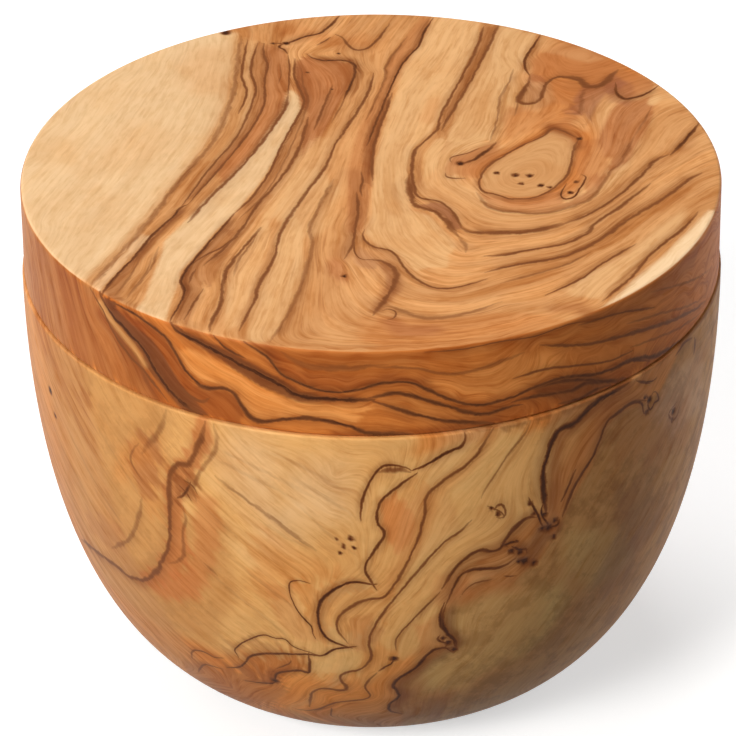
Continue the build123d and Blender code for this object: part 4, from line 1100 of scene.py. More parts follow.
class Growth:
    """The log's growth rings as one smooth field in space, drawn through the veins that are rings."""

    spacing = 5.0
    softness = 0.8
    lean = 0.25
    carried_share = 0.8
    carried_height = 56
    carried_depth = 10
    batch = 8000

    def __init__(self, lines: Sequence[Line], wall_lines: Sequence[Line], surface: Surface) -> None:
        """Fit the field to the rings' lines, and carry the front's rings through the block along the grain.

        Args:
            lines: All lines that may be rings.
            wall_lines: Those of them on the wall, which the grain carries to the back.
            surface: The outside of the keeper.
        """
        spots, rings = [], []
        for line in lines:
            if line.stroke.ring is None:
                continue
            chosen = self.thinned(line.places)
            spots.append(chosen)
            rings += [line.stroke.ring] * len(chosen)
            if line in wall_lines:
                carried = self.carried(chosen, surface)
                spots.append(carried)
                rings += [line.stroke.ring] * len(carried)
        self.spots = np.concatenate(spots)
        count = len(self.spots)
        near = np.linalg.norm(self.spots[:, None] - self.spots[None], axis=2)
        plane = np.column_stack([np.ones(count), self.spots])
        whole = np.zeros((count + 4, count + 4))
        whole[:count, :count] = near - self.softness * np.eye(count)
        whole[:count, count:] = plane
        whole[count:, :count] = plane.T
        self.weights = np.linalg.solve(whole, np.concatenate([rings, np.zeros(4)]))
        log.info("growth rings: %d anchors", count)

    def thinned(self, places: np.ndarray) -> np.ndarray:
        """Every few millimetres of a line, its ends included.

        Args:
            places: The places along it.

        Returns:
            Fewer places along it.
        """
        run = np.concatenate([[0], np.cumsum(np.linalg.norm(np.diff(places, axis=0), axis=1))])
        wanted = np.linspace(0, run[-1], max(2, round(run[-1] / self.spacing)))
        return np.column_stack([np.interp(wanted, run, places[:, k]) for k in range(3)])

    def carried(self, places: np.ndarray, surface: Surface) -> np.ndarray:
        """Places on the front wall moved to the back wall along the leaning grain.

        Args:
            places: The places.
            surface: The outside of the keeper.

        Returns:
            Those that come out on the back wall.
        """
        radius = np.interp(places[:, 2], surface.heights, surface.radii)
        across = places[:, 0] - self.lean * places[:, 1]
        share = across / (radius * math.sqrt(1 + self.lean**2))
        keep = np.abs(share) < self.carried_share
        keep &= (places[:, 1] < 0) & (places[:, 2] < self.carried_height)
        turn = np.arcsin(share[keep]) - math.atan(self.lean)
        moved = np.column_stack([radius[keep] * np.sin(turn), radius[keep] * np.cos(turn), places[keep, 2]])
        return moved[moved[:, 1] > self.carried_depth]

    def at(self, places: np.ndarray) -> np.ndarray:
        """The ring number at each place.

        Args:
            places: Places in mm, one row each.

        Returns:
            One number for each place.
        """
        count = len(self.spots)
        found = np.empty(len(places))
        bumps, level, slope = self.weights[:count], self.weights[count], self.weights[count + 1:]
        for first in range(0, len(places), self.batch):
            part = places[first:first + self.batch]
            near = np.linalg.norm(part[:, None] - self.spots[None], axis=2)
            found[first:first + self.batch] = near @ bumps + level + part @ slope
        return found


class Veins:
    """The drawn lines sorted into layers, so that lines in one layer keep clear of each other."""

    clearance = 2.6
    far = 9.0

    def __init__(self, lines: Sequence[Line]) -> None:
        """Sort the lines into as few layers as keep them apart.

        Args:
            lines: The lines to sort.
        """
        self.layers: list[list[Line]] = []
        for line in sorted(lines, key=lambda one: -len(one.places)):
            for layer in self.layers:
                if all(self.apart(line, other) for other in layer):
                    layer.append(line)
                    break
            else:
                self.layers.append([line])
        log.info("veins: %d lines in %d layers", len(lines), len(self.layers))

    def apart(self, one: Line, other: Line) -> bool:
        """Whether two lines keep their distance all along.

        Args:
            one: The first line.
            other: The second line.

        Returns:
            True where a layer can hold both.
        """
        room = self.clearance + one.stroke.width / 2 + other.stroke.width / 2
        low, high = other.places.min(0) - room, other.places.max(0) + room
        inside = one.places[((one.places > low) & (one.places < high)).all(1)]
        if not len(inside):
            return True
        near = np.linalg.norm(inside[::3, None] - other.places[None, ::3], axis=2)
        return bool(near.min() > room)

    def field(self, layer: Sequence[Line], places: np.ndarray) -> np.ndarray:
        """Where each place lies beside the nearest line of a layer.

        Args:
            layer: The lines.
            places: Places in mm.

        Returns:
            Rows of signed distance and plain distance, both in half widths, and the line's depth.
        """
        points = np.concatenate([line.places for line in layer])
        sides = np.concatenate([np.cross(line.headings, line.normals) for line in layer])
        halves = np.concatenate([line.halves for line in layer])
        depths = np.concatenate([line.depths for line in layer])
        tree = KDTree(len(points))
        for index, point in enumerate(points):
            tree.insert(point, index)
        tree.balance()
        nearest = np.array([tree.find(place)[1] for place in places])
        away = places - points[nearest]
        signed = (away * sides[nearest]).sum(1)
        plain = np.linalg.norm(away, axis=1)
        half = halves[nearest]
        return np.column_stack([signed / half, np.minimum(plain, self.far) / half, depths[nearest]])


class Painter:
    """Lays the wood's colour on a surface: a ground that follows the rings, patches and washes over it, and
    the shade beside veins.
    """

    ground = (
        (-40.0, Tone.SAPWOOD), (-29.0, Tone.SAPWOOD), (-27.0, Tone.HONEY), (-22.0, Tone.TAN),
        (-17.0, Tone.HONEY), (-11.0, Tone.HONEY), (-6.0, Tone.TAN), (-1.0, Tone.HONEY), (5.0, Tone.HONEY),
        (7.0, Tone.TAN), (9.5, Tone.STRAW), (12.0, Tone.AMBER), (20.0, Tone.TAN), (40.0, Tone.HONEY),
    )
    wall_ground = (
        (-46.0, Tone.MARIGOLD), (-31.0, Tone.APRICOT), (-27.0, Tone.MARIGOLD), (-22.0, Tone.FOX),
        (-18.0, Tone.MARIGOLD), (-14.0, Tone.HONEY), (-10.0, Tone.MARIGOLD), (-8.0, Tone.TAN),
        (-4.0, Tone.MARIGOLD), (5.0, Tone.APRICOT), (9.0, Tone.FOX), (14.0, Tone.AMBER),
        (22.0, Tone.MARIGOLD), (40.0, Tone.APRICOT),
    )
    batch = 4000
    fray = 0.35
    spread = 1.6
    turn_step = 4
    skip = 2
    pace = 0.45
    ending = 3.0

    def __init__(self, surface: Surface) -> None:
        """Keep the surface that the colours are placed on."""
        self.surface = surface

    def ground_colour(self, rings: np.ndarray, on_top: np.ndarray) -> np.ndarray:
        """The plain wood's colour, in linear light, for each ring number, richer off the top than on it.

        Args:
            rings: The ring numbers.
            on_top: Which of them are on the flat top.

        Returns:
            One colour for each.
        """
        found = np.empty((len(rings), 3))
        for chosen, ground in ((on_top, self.ground), (~on_top, self.wall_ground)):
            stops = np.array([ring for ring, _ in ground])
            colours = np.array([tone.linear for _, tone in ground])
            found[chosen] = np.column_stack([np.interp(rings[chosen], stops, part) for part in colours.T])
        return found

    @staticmethod
    def away_from(places: np.ndarray, path: np.ndarray) -> np.ndarray:
        """Distance of each place from a broken line.

        Args:
            places: The places.
            path: The line's corners, one row each.

        Returns:
            One distance for each place.
        """
        least = np.full(len(places), 1e9)
        for a, b in zip(path[:-1], path[1:]):
            run = b - a
            share = np.clip((places - a) @ run / max(run @ run, 1e-9), 0, 1)
            least = np.minimum(least, np.linalg.norm(places - a - share[:, None] * run, axis=1))
        return least

    def wash(self, colours: np.ndarray, places: np.ndarray, wander: np.ndarray, wash: Wash,
             top: bool) -> None:
        """Lay one wash over the colours, in place.

        Args:
            colours: The colours, which it changes.
            places: Where they are, in mm.
            wander: The slow wander that frays edges.
            wash: The wash.
            top: Whether it is drawn on the flat top.
        """
        given = np.array(wash.points, float)
        if top:
            path = self.surface.on_top(given)[0]
        else:
            fine = [np.linspace(a, b, max(2, int(abs(b[0] - a[0]) / self.turn_step)), endpoint=False)
                    for a, b in zip(given[:-1], given[1:])]
            path = self.surface.on_wall(np.concatenate([*fine, given[-1:]]))[0]
        room = self.spread * wash.reach
        near = np.flatnonzero(((places > path.min(0) - room) & (places < path.max(0) + room)).all(1))
        if not len(near):
            return
        share = self.away_from(places[near], path) / wash.reach + self.fray * wander[near]
        cover = wash.strength * (1 - np.clip((share - 0.3) / 0.9, 0, 1)) ** 1.3
        colours[near] += cover[:, None] * (wash.tone.linear - colours[near])

    def cover(self, flat: np.ndarray, outline: Sequence[tuple[float, float]], feather: float,
              wander: np.ndarray, grain: np.ndarray, flames: np.ndarray) -> tuple[np.ndarray, np.ndarray]:
        """How much of an outlined area covers each place near it.

        Args:
            flat: Each vertex's place on the surface the outline is drawn on, in mm; not a number elsewhere.
            outline: The outline in the same flat millimetres.
            feather: Width of its soft edge.
            wander: The slow wander that frays edges.
            grain: The direction across the grain at each place, laid flat.
            flames: How far, in mm, an edge that cuts the grain runs out along it at each place.

        Returns:
            The indices of the places near it, and 0 to 1 for each of them.
        """
        corners = np.array(outline, float)
        spare = feather + 3
        low, high = corners.min(0) - spare, corners.max(0) + spare
        near = np.flatnonzero(((flat > low) & (flat < high)).all(1))
        spot = flat[near]
        inside = np.zeros(len(near), bool)
        least = np.full(len(near), 1e9)
        cut = np.zeros(len(near))
        for a, b in zip(corners, np.roll(corners, -1, axis=0)):
            run = b - a
            share = np.clip((spot - a) @ run / max(run @ run, 1e-9), 0, 1)
            gap = np.linalg.norm(spot - a - share[:, None] * run, axis=1)
            cut = np.where(gap < least, np.abs(grain[near] @ (run / max(np.linalg.norm(run), 1e-9))), cut)
            least = np.minimum(least, gap)
            if a[1] != b[1]:
                crossing = (spot[:, 1] < a[1]) != (spot[:, 1] < b[1])
                inside ^= crossing & (spot[:, 0] < a[0] + (spot[:, 1] - a[1]) * run[0] / run[1])
        depth = np.where(inside, least, -least) + self.fray * wander[near]
        depth += cut**2 * flames[near]
        share = np.clip(depth / feather + 0.5, 0, 1)
        return near, share * share * (3 - 2 * share)

    def shade(self, places: np.ndarray, lines: Sequence[Line], allowed: np.ndarray) -> np.ndarray:
        """The soft brown that lies along one side of most veins.

        Args:
            places: Places in mm.
            lines: The lines of the piece.
            allowed: Indices of the places that are drawn on.

        Returns:
            0 to 1 for each place.
        """
        found = np.zeros(len(places))
        spots = places[allowed]
        for line in lines:
            if line.stroke.shade is None:
                continue
            reach, strength = line.stroke.shade
            side = math.copysign(1.0, reach)
            reach = abs(reach)
            points = line.places[::self.skip]
            low, high = points.min(0) - reach, points.max(0) + reach
            near = np.flatnonzero(((spots > low) & (spots < high)).all(1))
            sides = np.cross(line.headings, line.normals)[::self.skip] * side
            steps = np.arange(len(points))
            room = np.minimum(steps, steps[::-1]) * self.pace
            for first in range(0, len(near), self.batch):
                part = near[first:first + self.batch]
                away = spots[part][:, None] - points[None]
                gap = np.einsum("ijk,ijk->ij", away, away)
                nearest = gap.argmin(1)
                rows = np.arange(len(part))
                signed = (away[rows, nearest] * sides[nearest]).sum(1)
                gap = np.sqrt(gap[rows, nearest])
                fade = np.clip(1 - gap / reach, 0, 1) ** 1.2 * np.clip(signed / 0.5 + 0.5, 0, 1)
                fade *= np.clip(room[nearest] / self.ending, 0, 1) * strength
                index = allowed[part]
                found[index] = np.maximum(found[index], fade)
        return found

    @staticmethod
    def wander(places: np.ndarray, rings: np.ndarray) -> np.ndarray:
        """A slow, even wander from -1 to 1 that frays the edges of washes along the grain.

        Args:
            places: Places in mm.
            rings: The ring number at each.

        Returns:
            One number for each place.
        """
        found = np.empty(len(places))
        for index, ((x, y, z), ring) in enumerate(zip(places.tolist(), rings.tolist())):
            found[index] = (noise.noise(Vector((x * 0.11, y * 0.11, z * 0.11)))
                            + 0.9 * noise.noise(Vector((ring * 0.8, y * 0.05, 7.3))))
        return found


# ------------------------------------------------------------------------------------------ shader maths


@dataclass(frozen=True)
class Signal:
    """A number that varies over a surface, with the usual operators."""

    graph: "Graph"
    socket: bpy.types.NodeSocket

    def __add__(self, other: "Signal | float") -> "Signal":
        """The sum."""
        return self.graph.math("ADD", self, other)

    __radd__ = __add__

    def __sub__(self, other: "Signal | float") -> "Signal":
        """The difference."""
        return self.graph.math("SUBTRACT", self, other)

    def __rsub__(self, other: float) -> "Signal":
        """The difference from a plain number."""
        return self.graph.math("SUBTRACT", other, self)

    def __mul__(self, other: "Signal | float") -> "Signal":
        """The product."""
        return self.graph.math("MULTIPLY", self, other)

    __rmul__ = __mul__

    def __truediv__(self, other: "Signal | float") -> "Signal":
        """The quotient."""
        return self.graph.math("DIVIDE", self, other)

    def __abs__(self) -> "Signal":
        """The size without its sign."""
        return self.graph.math("ABSOLUTE", self)

    def upper(self, other: "Signal | float") -> "Signal":
        """The larger of the two."""
        return self.graph.math("MAXIMUM", self, other)

    def rise(self, low: float, high: float) -> "Signal":
        """0 below low, 1 above high, and a smooth step between; high below low turns it round.

        Args:
            low: Where it starts to rise.
            high: Where it reaches 1.

        Returns:
            The step.
        """
        node = self.graph.add("ShaderNodeMapRange", {"interpolation_type": "SMOOTHSTEP"},
                              {"Value": self, "From Min": low, "From Max": high})
        return Signal(self.graph, node.outputs["Result"])


class Graph:
    """One material's node tree, written as expressions."""

    def __init__(self, name: str) -> None:
        """Start an empty material.

        Args:
            name: The material's name.
        """
        self.material = bpy.data.materials.new(name)
        self.material.use_nodes = True
        self.tree = self.material.node_tree
        self.tree.nodes.clear()

    def add(self, kind: str, settings: dict | None = None, values: dict | None = None) -> bpy.types.Node:
        """Add any node.

        Args:
            kind: The node's type.
            settings: Its own settings, set first.
            values: A number, colour, Signal or socket for each input, by name or index.

        Returns:
            The node.
        """
        node = self.tree.nodes.new(kind)
        for key, value in (settings or {}).items():
            setattr(node, key, value)
        for key, value in (values or {}).items():
            source = value.socket if isinstance(value, Signal) else value
            if isinstance(source, bpy.types.NodeSocket):
                self.tree.links.new(source, node.inputs[key])
            else:
                node.inputs[key].default_value = source
        return node

    def math(self, operation: str, *terms: Signal | float) -> Signal:
        """One Math node on numbers."""
        node = self.add("ShaderNodeMath", {"operation": operation}, dict(enumerate(terms)))
        return Signal(self, node.outputs[0])

    def mix(self, share: Signal | float, first: object, second: object,
            blend: str = "MIX") -> bpy.types.NodeSocket:
        """Mix two colours by a share from 0 to 1."""
        kind = {"data_type": "RGBA", "blend_type": blend}
        return self.add("ShaderNodeMix", kind, {0: share, 6: first, 7: second}).outputs[2]

    def scaled(self, vector: bpy.types.NodeSocket, size: tuple[float, float, float]) -> bpy.types.NodeSocket:
        """A vector multiplied axis by axis."""
        return self.add("ShaderNodeVectorMath", {"operation": "MULTIPLY"}, {0: vector, 1: size}).outputs[0]

    def stored(self, name: str) -> bpy.types.Node:
        """The node that reads a value stored on the mesh."""
        return self.add("ShaderNodeAttribute", {"attribute_type": "GEOMETRY", "attribute_name": name})

    def place(self) -> bpy.types.NodeSocket:
        """The place on the piece, in millimetres."""
        return self.scaled(self.add("ShaderNodeTexCoord").outputs["Object"], (1000, 1000, 1000))

    def noise(self, vector: object, scale: float, detail: float = 2.0, rough: float = 0.5,
              along: Signal | None = None) -> Signal:
        """Noise about 0.5; along adds a fourth coordinate, such as the ring number.

        Args:
            vector: The place.
            scale: How fast it changes.
            detail: Octaves of finer noise.
            rough: The strength of those.
            along: The fourth coordinate, or None.

        Returns:
            The noise.
        """
        values = {"Vector": vector, "Scale": scale, "Detail": detail, "Roughness": rough}
        if along is not None:
            values["W"] = along * (1 / scale)
        sizes = "3D" if along is None else "4D"
        return Signal(self, self.add("ShaderNodeTexNoise", {"noise_dimensions": sizes}, values).outputs[0])

    def streaks(self, vector: object, scale: float, per_mm: float, detail: float = 2.0, rough: float = 0.5,
                shift: float = 0.0) -> Signal:
        """Noise drawn out along the grain, with about per_mm streaks in a millimetre wherever the rings lie.

        Args:
            vector: The place, in millimetres.
            scale: How fast a streak changes along its length, per millimetre.
            per_mm: How many streaks there are across a millimetre.
            detail: Octaves of finer noise.
            rough: The strength of those.
            shift: Another number for another set of streaks.

        Returns:
            About 0.5, as noise is.
        """
        flow = Signal(self, self.stored("flow").outputs["Fac"])
        level = Signal(self, self.stored("octave").outputs["Fac"]) + math.log2(per_mm)
        whole = self.math("FLOOR", level)
        share = level - whole
        along = flow * self.math("POWER", 2.0, whole)
        coarse = self.noise(vector, scale, detail, rough, along + shift)
        fine = self.noise(vector, scale, detail, rough, along * 2.0 + shift)
        return coarse + (fine - coarse) * share

    def finish(self, colour: object, rough: Signal | float, height: Signal | None, depth: float,
               fixed: dict | None = None) -> bpy.types.Material:
        """Close the tree with one shader.

        Args:
            colour: Base colour, a socket or four numbers.
            rough: Roughness.
            height: Relief from 0 to 1, or None.
            depth: What a relief of 1 stands for, in metres.
            fixed: Other inputs of the shader that are the same all over.

        Returns:
            The material.
        """
        values = {"Base Color": colour, "Roughness": rough, **(fixed or {})}
        shader = self.add("ShaderNodeBsdfPrincipled", {}, values)
        if height is not None:
            bump = self.add("ShaderNodeBump", {}, {"Strength": 1.0, "Distance": depth, "Height": height})
            self.tree.links.new(bump.outputs["Normal"], shader.inputs["Normal"])
        out = self.add("ShaderNodeOutputMaterial")
        self.tree.links.new(shader.outputs[0], out.inputs["Surface"])
        return self.material


@dataclass(frozen=True)
class OliveWood:
    """Oiled olive wood, drawn from the values that its piece stores on its mesh."""

    name: str
    layers: int
    vein_brown: tuple[float, float, float, float] = (0.20, 0.060, 0.016, 1)
    vein_black: tuple[float, float, float, float] = (0.052, 0.014, 0.004, 1)
    late_tint: tuple[float, float, float, float] = (0.80, 0.66, 0.50, 1)
    early_tint: tuple[float, float, float, float] = (1.12, 1.12, 1.10, 1)
    fibre_tint: tuple[float, float, float, float] = (0.85, 0.75, 0.62, 1)
    grit_tint: tuple[float, float, float, float] = (0.87, 0.79, 0.69, 1)
    blot_tint: tuple[float, float, float, float] = (0.66, 0.60, 0.52, 1)
    shade_tint: tuple[float, float, float, float] = (0.42, 0.27, 0.16, 1)
    hair_tint: tuple[float, float, float, float] = (0.66, 0.50, 0.36, 1)
    cloud_tint: tuple[float, float, float, float] = (0.92, 0.80, 0.66, 1)
    relief: float = 0.00003
    shine: float = 0.09

    def tinted(self, g: Graph, colour: object, tint: tuple[float, ...], share: Signal | float) -> object:
        """A colour multiplied by a tint, as far as share says."""
        return g.mix(share, colour, tint, "MULTIPLY")

    def ink(self, g: Graph, layer: int, fray: Signal, swell: Signal) -> Signal:
        """How dark one layer of veins is at a place.

        Args:
            g: The tree to add to.
            layer: Which layer.
            fray: How far the edges are pushed aside, in half widths.
            swell: How much wider or narrower they run.

        Returns:
            0 to 1.
        """
        split = g.add("ShaderNodeSeparateXYZ", {}, {0: g.stored(f"veins_{layer}").outputs["Vector"]})
        aside, plain, depth = (Signal(g, split.outputs[k]) for k in range(3))
        off = abs(aside + fray).upper(plain - 1.0) / swell
        core = off.rise(1.05, 0.1)
        halo = off.rise(4.6, 0.3) * 0.32
        return core.upper(halo) * depth

    def build(self) -> bpy.types.Material:
        """Make the material.

        Returns:
            The material.
        """
        g = Graph(self.name)
        place = g.place()
        colour = g.stored("tone").outputs["Color"]
        pit = Signal(g, g.stored("pit").outputs["Fac"])
        mood = g.add("ShaderNodeSeparateXYZ", {}, {0: g.stored("mood").outputs["Vector"]})
        calm, mottle, late = (Signal(g, mood.outputs[k]) for k in range(3))
        lively = 1 - calm
        band = g.streaks(place, 0.02, 0.30, 2, 0.55)
        fibre = g.streaks(place, 0.06, 1.7, 3, 0.65)
        grit = g.streaks(place, 0.30, 1.5, 2, 0.6, 9.7)
        hair = g.streaks(place, 0.035, 0.55, 2, 0.5, 17.3)
        dash = g.streaks(place, 0.08, 1.5, 2, 0.5, 31.9)
        cloud = g.noise(place, 0.085, 4, 0.6)
        blot = g.noise(place, 0.20, 5, 0.68)
        colour = self.tinted(g, colour, self.early_tint, band.rise(0.52, 0.36) * lively)
        colour = self.tinted(g, colour, self.late_tint, band.rise(0.50, 0.66) * lively)
        colour = self.tinted(g, colour, self.cloud_tint, cloud.rise(0.45, 0.75) * 0.6)
        colour = self.tinted(g, colour, self.fibre_tint, fibre.rise(0.42, 0.62) * (lively * 0.85 + 0.15))
        colour = self.tinted(g, colour, self.grit_tint, grit.rise(0.46, 0.66) * (lively * 0.4 + 0.5))
        streak = late * (fibre * 1.8 + 0.1)
        colour = self.tinted(g, colour, self.shade_tint, streak.rise(0.0, 0.95))
        line = abs(hair - 0.5).rise(0.028, 0.0) * cloud.rise(0.36, 0.6)
        line = (line * 0.3).upper(dash.rise(0.56, 0.68) * 0.6)
        colour = self.tinted(g, colour, self.hair_tint, line * (lively * 0.85 + 0.15))
        colour = self.tinted(g, colour, self.blot_tint, blot.rise(0.44, 0.62) * mottle)
        fray = (g.noise(place, 0.55, 3, 0.6) - 0.5) * 1.3 + (fibre - 0.5) * 0.6
        swell = g.noise(place, 0.16, 2, 0.5) * 1.5 + 0.25
        inks = [self.ink(g, layer, fray, swell) for layer in range(self.layers)]
        ink = inks[0]
        for other in inks[1:]:
            ink = ink.upper(other)
        grain = fibre * 0.8 + 0.60
        ink = (ink * grain).upper(pit * (g.noise(place, 1.3, 2, 0.6) * 1.1 + 0.55))
        colour = g.mix(ink.rise(0.0, 0.72), colour, self.vein_brown)
        colour = g.mix(ink.rise(0.60, 1.06), colour, self.vein_black)
        rough = fibre * 0.14 + grit.rise(0.5, 0.7) * 0.12 + 0.42
        relief = fibre * 0.4 - grit.rise(0.55, 0.72) * 0.5 - ink * 0.25
        return g.finish(colour, rough, relief, self.relief, {"Specular IOR Level": self.shine})


@dataclass(frozen=True)
class Metal:
    """A small turned metal piece: its colour, shine and the look of its handling marks."""

    name: str
    colour: tuple[float, float, float, float]
    worn: tuple[float, float, float, float]
    rough: float
    marks: float
    relief: float = 0.000004

    def build(self) -> bpy.types.Material:
        """Make the material.

        Returns:
            The material.
        """
        g = Graph(self.name)
        place = g.place()
        turned = g.noise(g.scaled(place, (0.4, 0.4, 6.0)), 1.0, 3, 0.6)
        wear = g.noise(place, 0.5, 4, 0.65)
        colour = g.mix(wear.rise(0.42, 0.66), self.colour, self.worn)
        rough = turned * self.marks + wear * 0.12 + (self.rough - self.marks / 2)
        return g.finish(colour, rough, turned, self.relief, {"Metallic": 1.0})


# ------------------------------------------------------------------------------------------- the pieces


@dataclass
class Bore:
    """A blind hole turned for one of the small metal pieces, through the face that lies at one end of it."""

    node: str
    up: bool
    spare: float = 1.0
    sides: int = 64

    def tool(self) -> bpy.types.Object:
        """The cutter, in metres.

        Returns:
            The cutter, linked into the scene.
        """
        low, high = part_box(self.node)
        radius = (high.x - low.x) / 2
        bottom = low.z - (0 if self.up else self.spare * MM)
        top = high.z + (self.spare * MM if self.up else 0)
        centre = (low + high) / 2
        count = self.sides
        made = bpy.data.meshes.new("bore")
        turns = [math.tau * k / count for k in range(count)]
        places = [(centre.x + radius * math.cos(t), centre.y + radius * math.sin(t), z)
                  for z in (bottom, top) for t in turns]
        faces = [tuple(range(count))[::-1], tuple(range(count, 2 * count))]
        faces += [(k, (k + 1) % count, count + (k + 1) % count, count + k) for k in range(count)]
        made.from_pydata(places, [], faces)
        cutter = bpy.data.objects.new("bore", made)
        bpy.context.scene.collection.objects.link(cutter)
        return cutter


@dataclass
class TurnedPiece:
    """A piece of wood off the lathe: cut, bored, drawn on and dressed."""

    name: str
    node: str
    body: str
    slot: str
    bores: tuple[Bore, ...]
    sharp: ClassVar[float] = 38.0

    def rings(self) -> list[Ring]:
        """The rings of its outline."""
        raise NotImplementedError

    def turn(self) -> bpy.types.Object:
        """Make the mesh with its bores.

        Returns:
            The piece, linked into the scene.
        """
        raw = Lathe(self.rings()).mesh(self.name)
        piece = bpy.data.objects.new(self.name, raw)
        bpy.context.scene.collection.objects.link(piece)
        cutters = [bore.tool() for bore in self.bores]
        for cutter in cutters:
            cut = piece.modifiers.new("bore", "BOOLEAN")
            cut.operation, cut.solver, cut.object = "DIFFERENCE", "EXACT", cutter
        seen = piece.evaluated_get(bpy.context.evaluated_depsgraph_get())
        made = bpy.data.meshes.new_from_object(seen)
        piece.modifiers.clear()
        piece.data = made
        bpy.data.meshes.remove(raw)
        made.name = self.name
        for cutter in cutters:
            bpy.data.objects.remove(cutter)
        made.shade_smooth()
        made.set_sharp_from_angle(angle=math.radians(self.sharp))
        return piece


@dataclass
class Lid(TurnedPiece):
    """The swing lid: a flat disc with a crisp top edge."""

    radius: float = 51.0
    bottom: float = 65.8
    top: float = 79.5
    top_round: float = 0.5
    seam_round: float = 0.3
    fine: float = 0.42
    coarse: float = 0.9
    plain: float = 1.6

    def outline(self) -> tuple[Profile, Profile, Profile, Profile, Profile]:
        """Top, top edge, wall, seam edge and underside.

        Returns:
            The five profiles, in that order.
        """
        edge = self.radius - self.top_round
        shoulder = self.top - self.top_round
        heel = self.bottom + self.seam_round
        return (
            Profile.line((0, self.top), (edge, self.top), self.fine),
            Profile.arc((edge, shoulder), self.top_round, 90, 0, 5),
            Profile.line((self.radius, shoulder), (self.radius, heel), self.fine),
            Profile.arc((self.radius - self.seam_round, heel), self.seam_round, 0, -90, 4),
            Profile.line((self.radius - self.seam_round, self.bottom), (0, self.bottom), self.plain),
        )

    def rings(self) -> list[Ring]:
        """Fine on top and on the front of the wall.

        Returns:
            The rings, from the top down.
        """
        top, edge, wall, heel, under = self.outline()
        made = top.rings(self.fine, self.fine) + edge.rings(self.fine, self.fine)
        made += wall.rings(self.fine, self.coarse) + heel.rings(self.fine, self.coarse)
        return made + under.rings(self.plain, self.plain) + [Ring(0, self.bottom, self.plain, self.plain)]


@dataclass
class Bowl(TurnedPiece):
    """The deep bowl: upright at the rim, rolling under to a flat foot, and hollow."""

    rim: float = 51.3
    height: float = 65.6
    foot: float = 25.5
    rim_run: float = 33.6
    foot_run: float = 19.1
    foot_slope: float = 18.4
    mouth: float = 39.3
    floor: float = 9.0
    side_run: float = 38.0
    floor_run: float = 29.0
    mouth_round: float = 1.0
    seam_round: float = 0.3
    fine: float = 0.5
    coarse: float = 1.0
    even: float = 0.9
    plain: float = 1.6
    joint: float = 0.05

    def wall(self, step: float) -> Profile:
        """The outside from the rim's edge down to the foot.

        Args:
            step: About how far apart the points are.

        Returns:
            The wall as a profile.
        """
        slope = math.radians(self.foot_slope)
        low = (self.foot + self.foot_run * math.cos(slope), self.foot_run * math.sin(slope))
        corners = [(self.rim, self.height), (self.rim, self.height - self.rim_run), low, (self.foot, 0.0)]
        whole = Profile.bend(corners, step)
        return Profile(tuple(p for p in whole.points if p[1] < self.height - self.seam_round - self.joint))

    def hollow(self, step: float) -> Profile:
        """The inside from the middle of the floor up to the mouth's round.

        Args:
            step: About how far apart the points are.

        Returns:
            The hollow as a profile.
        """
        corners = [(0, self.floor), (self.floor_run, self.floor), (self.mouth, self.height - self.side_run),
                   (self.mouth, self.height)]
        whole = Profile.bend(corners, step)
        return Profile(tuple(p for p in whole.points if p[1] < self.height - self.mouth_round - self.joint))

    def rings(self) -> list[Ring]:
        """Fine on the front of the outside wall.

        Returns:
            The rings, from the floor inside, over the rim and down to the foot.
        """
        lip = self.height - self.mouth_round
        edge = self.height - self.seam_round
        made = self.hollow(self.plain).rings(self.plain, self.plain)
        mouth = Profile.arc((self.mouth + self.mouth_round, lip), self.mouth_round, 180, 90, 6)
        made += mouth.rings(self.even, self.even)
        inner, outer = self.mouth + self.mouth_round, self.rim - self.seam_round
        rim = Profile.line((inner, self.height), (outer, self.height), self.even)
        made += rim.rings(self.even, self.even)
        made += Profile.arc((outer, edge), self.seam_round, 90, 0, 4).rings(self.fine, self.coarse)
        made += [Ring(self.rim, edge, self.fine, self.coarse)]
        made += self.wall(self.fine).rings(self.fine, self.coarse)
        made += Profile.line((self.foot, 0), (0, 0), self.plain).rings(self.plain, self.plain)
        return made + [Ring(0, 0, self.plain, self.plain)]


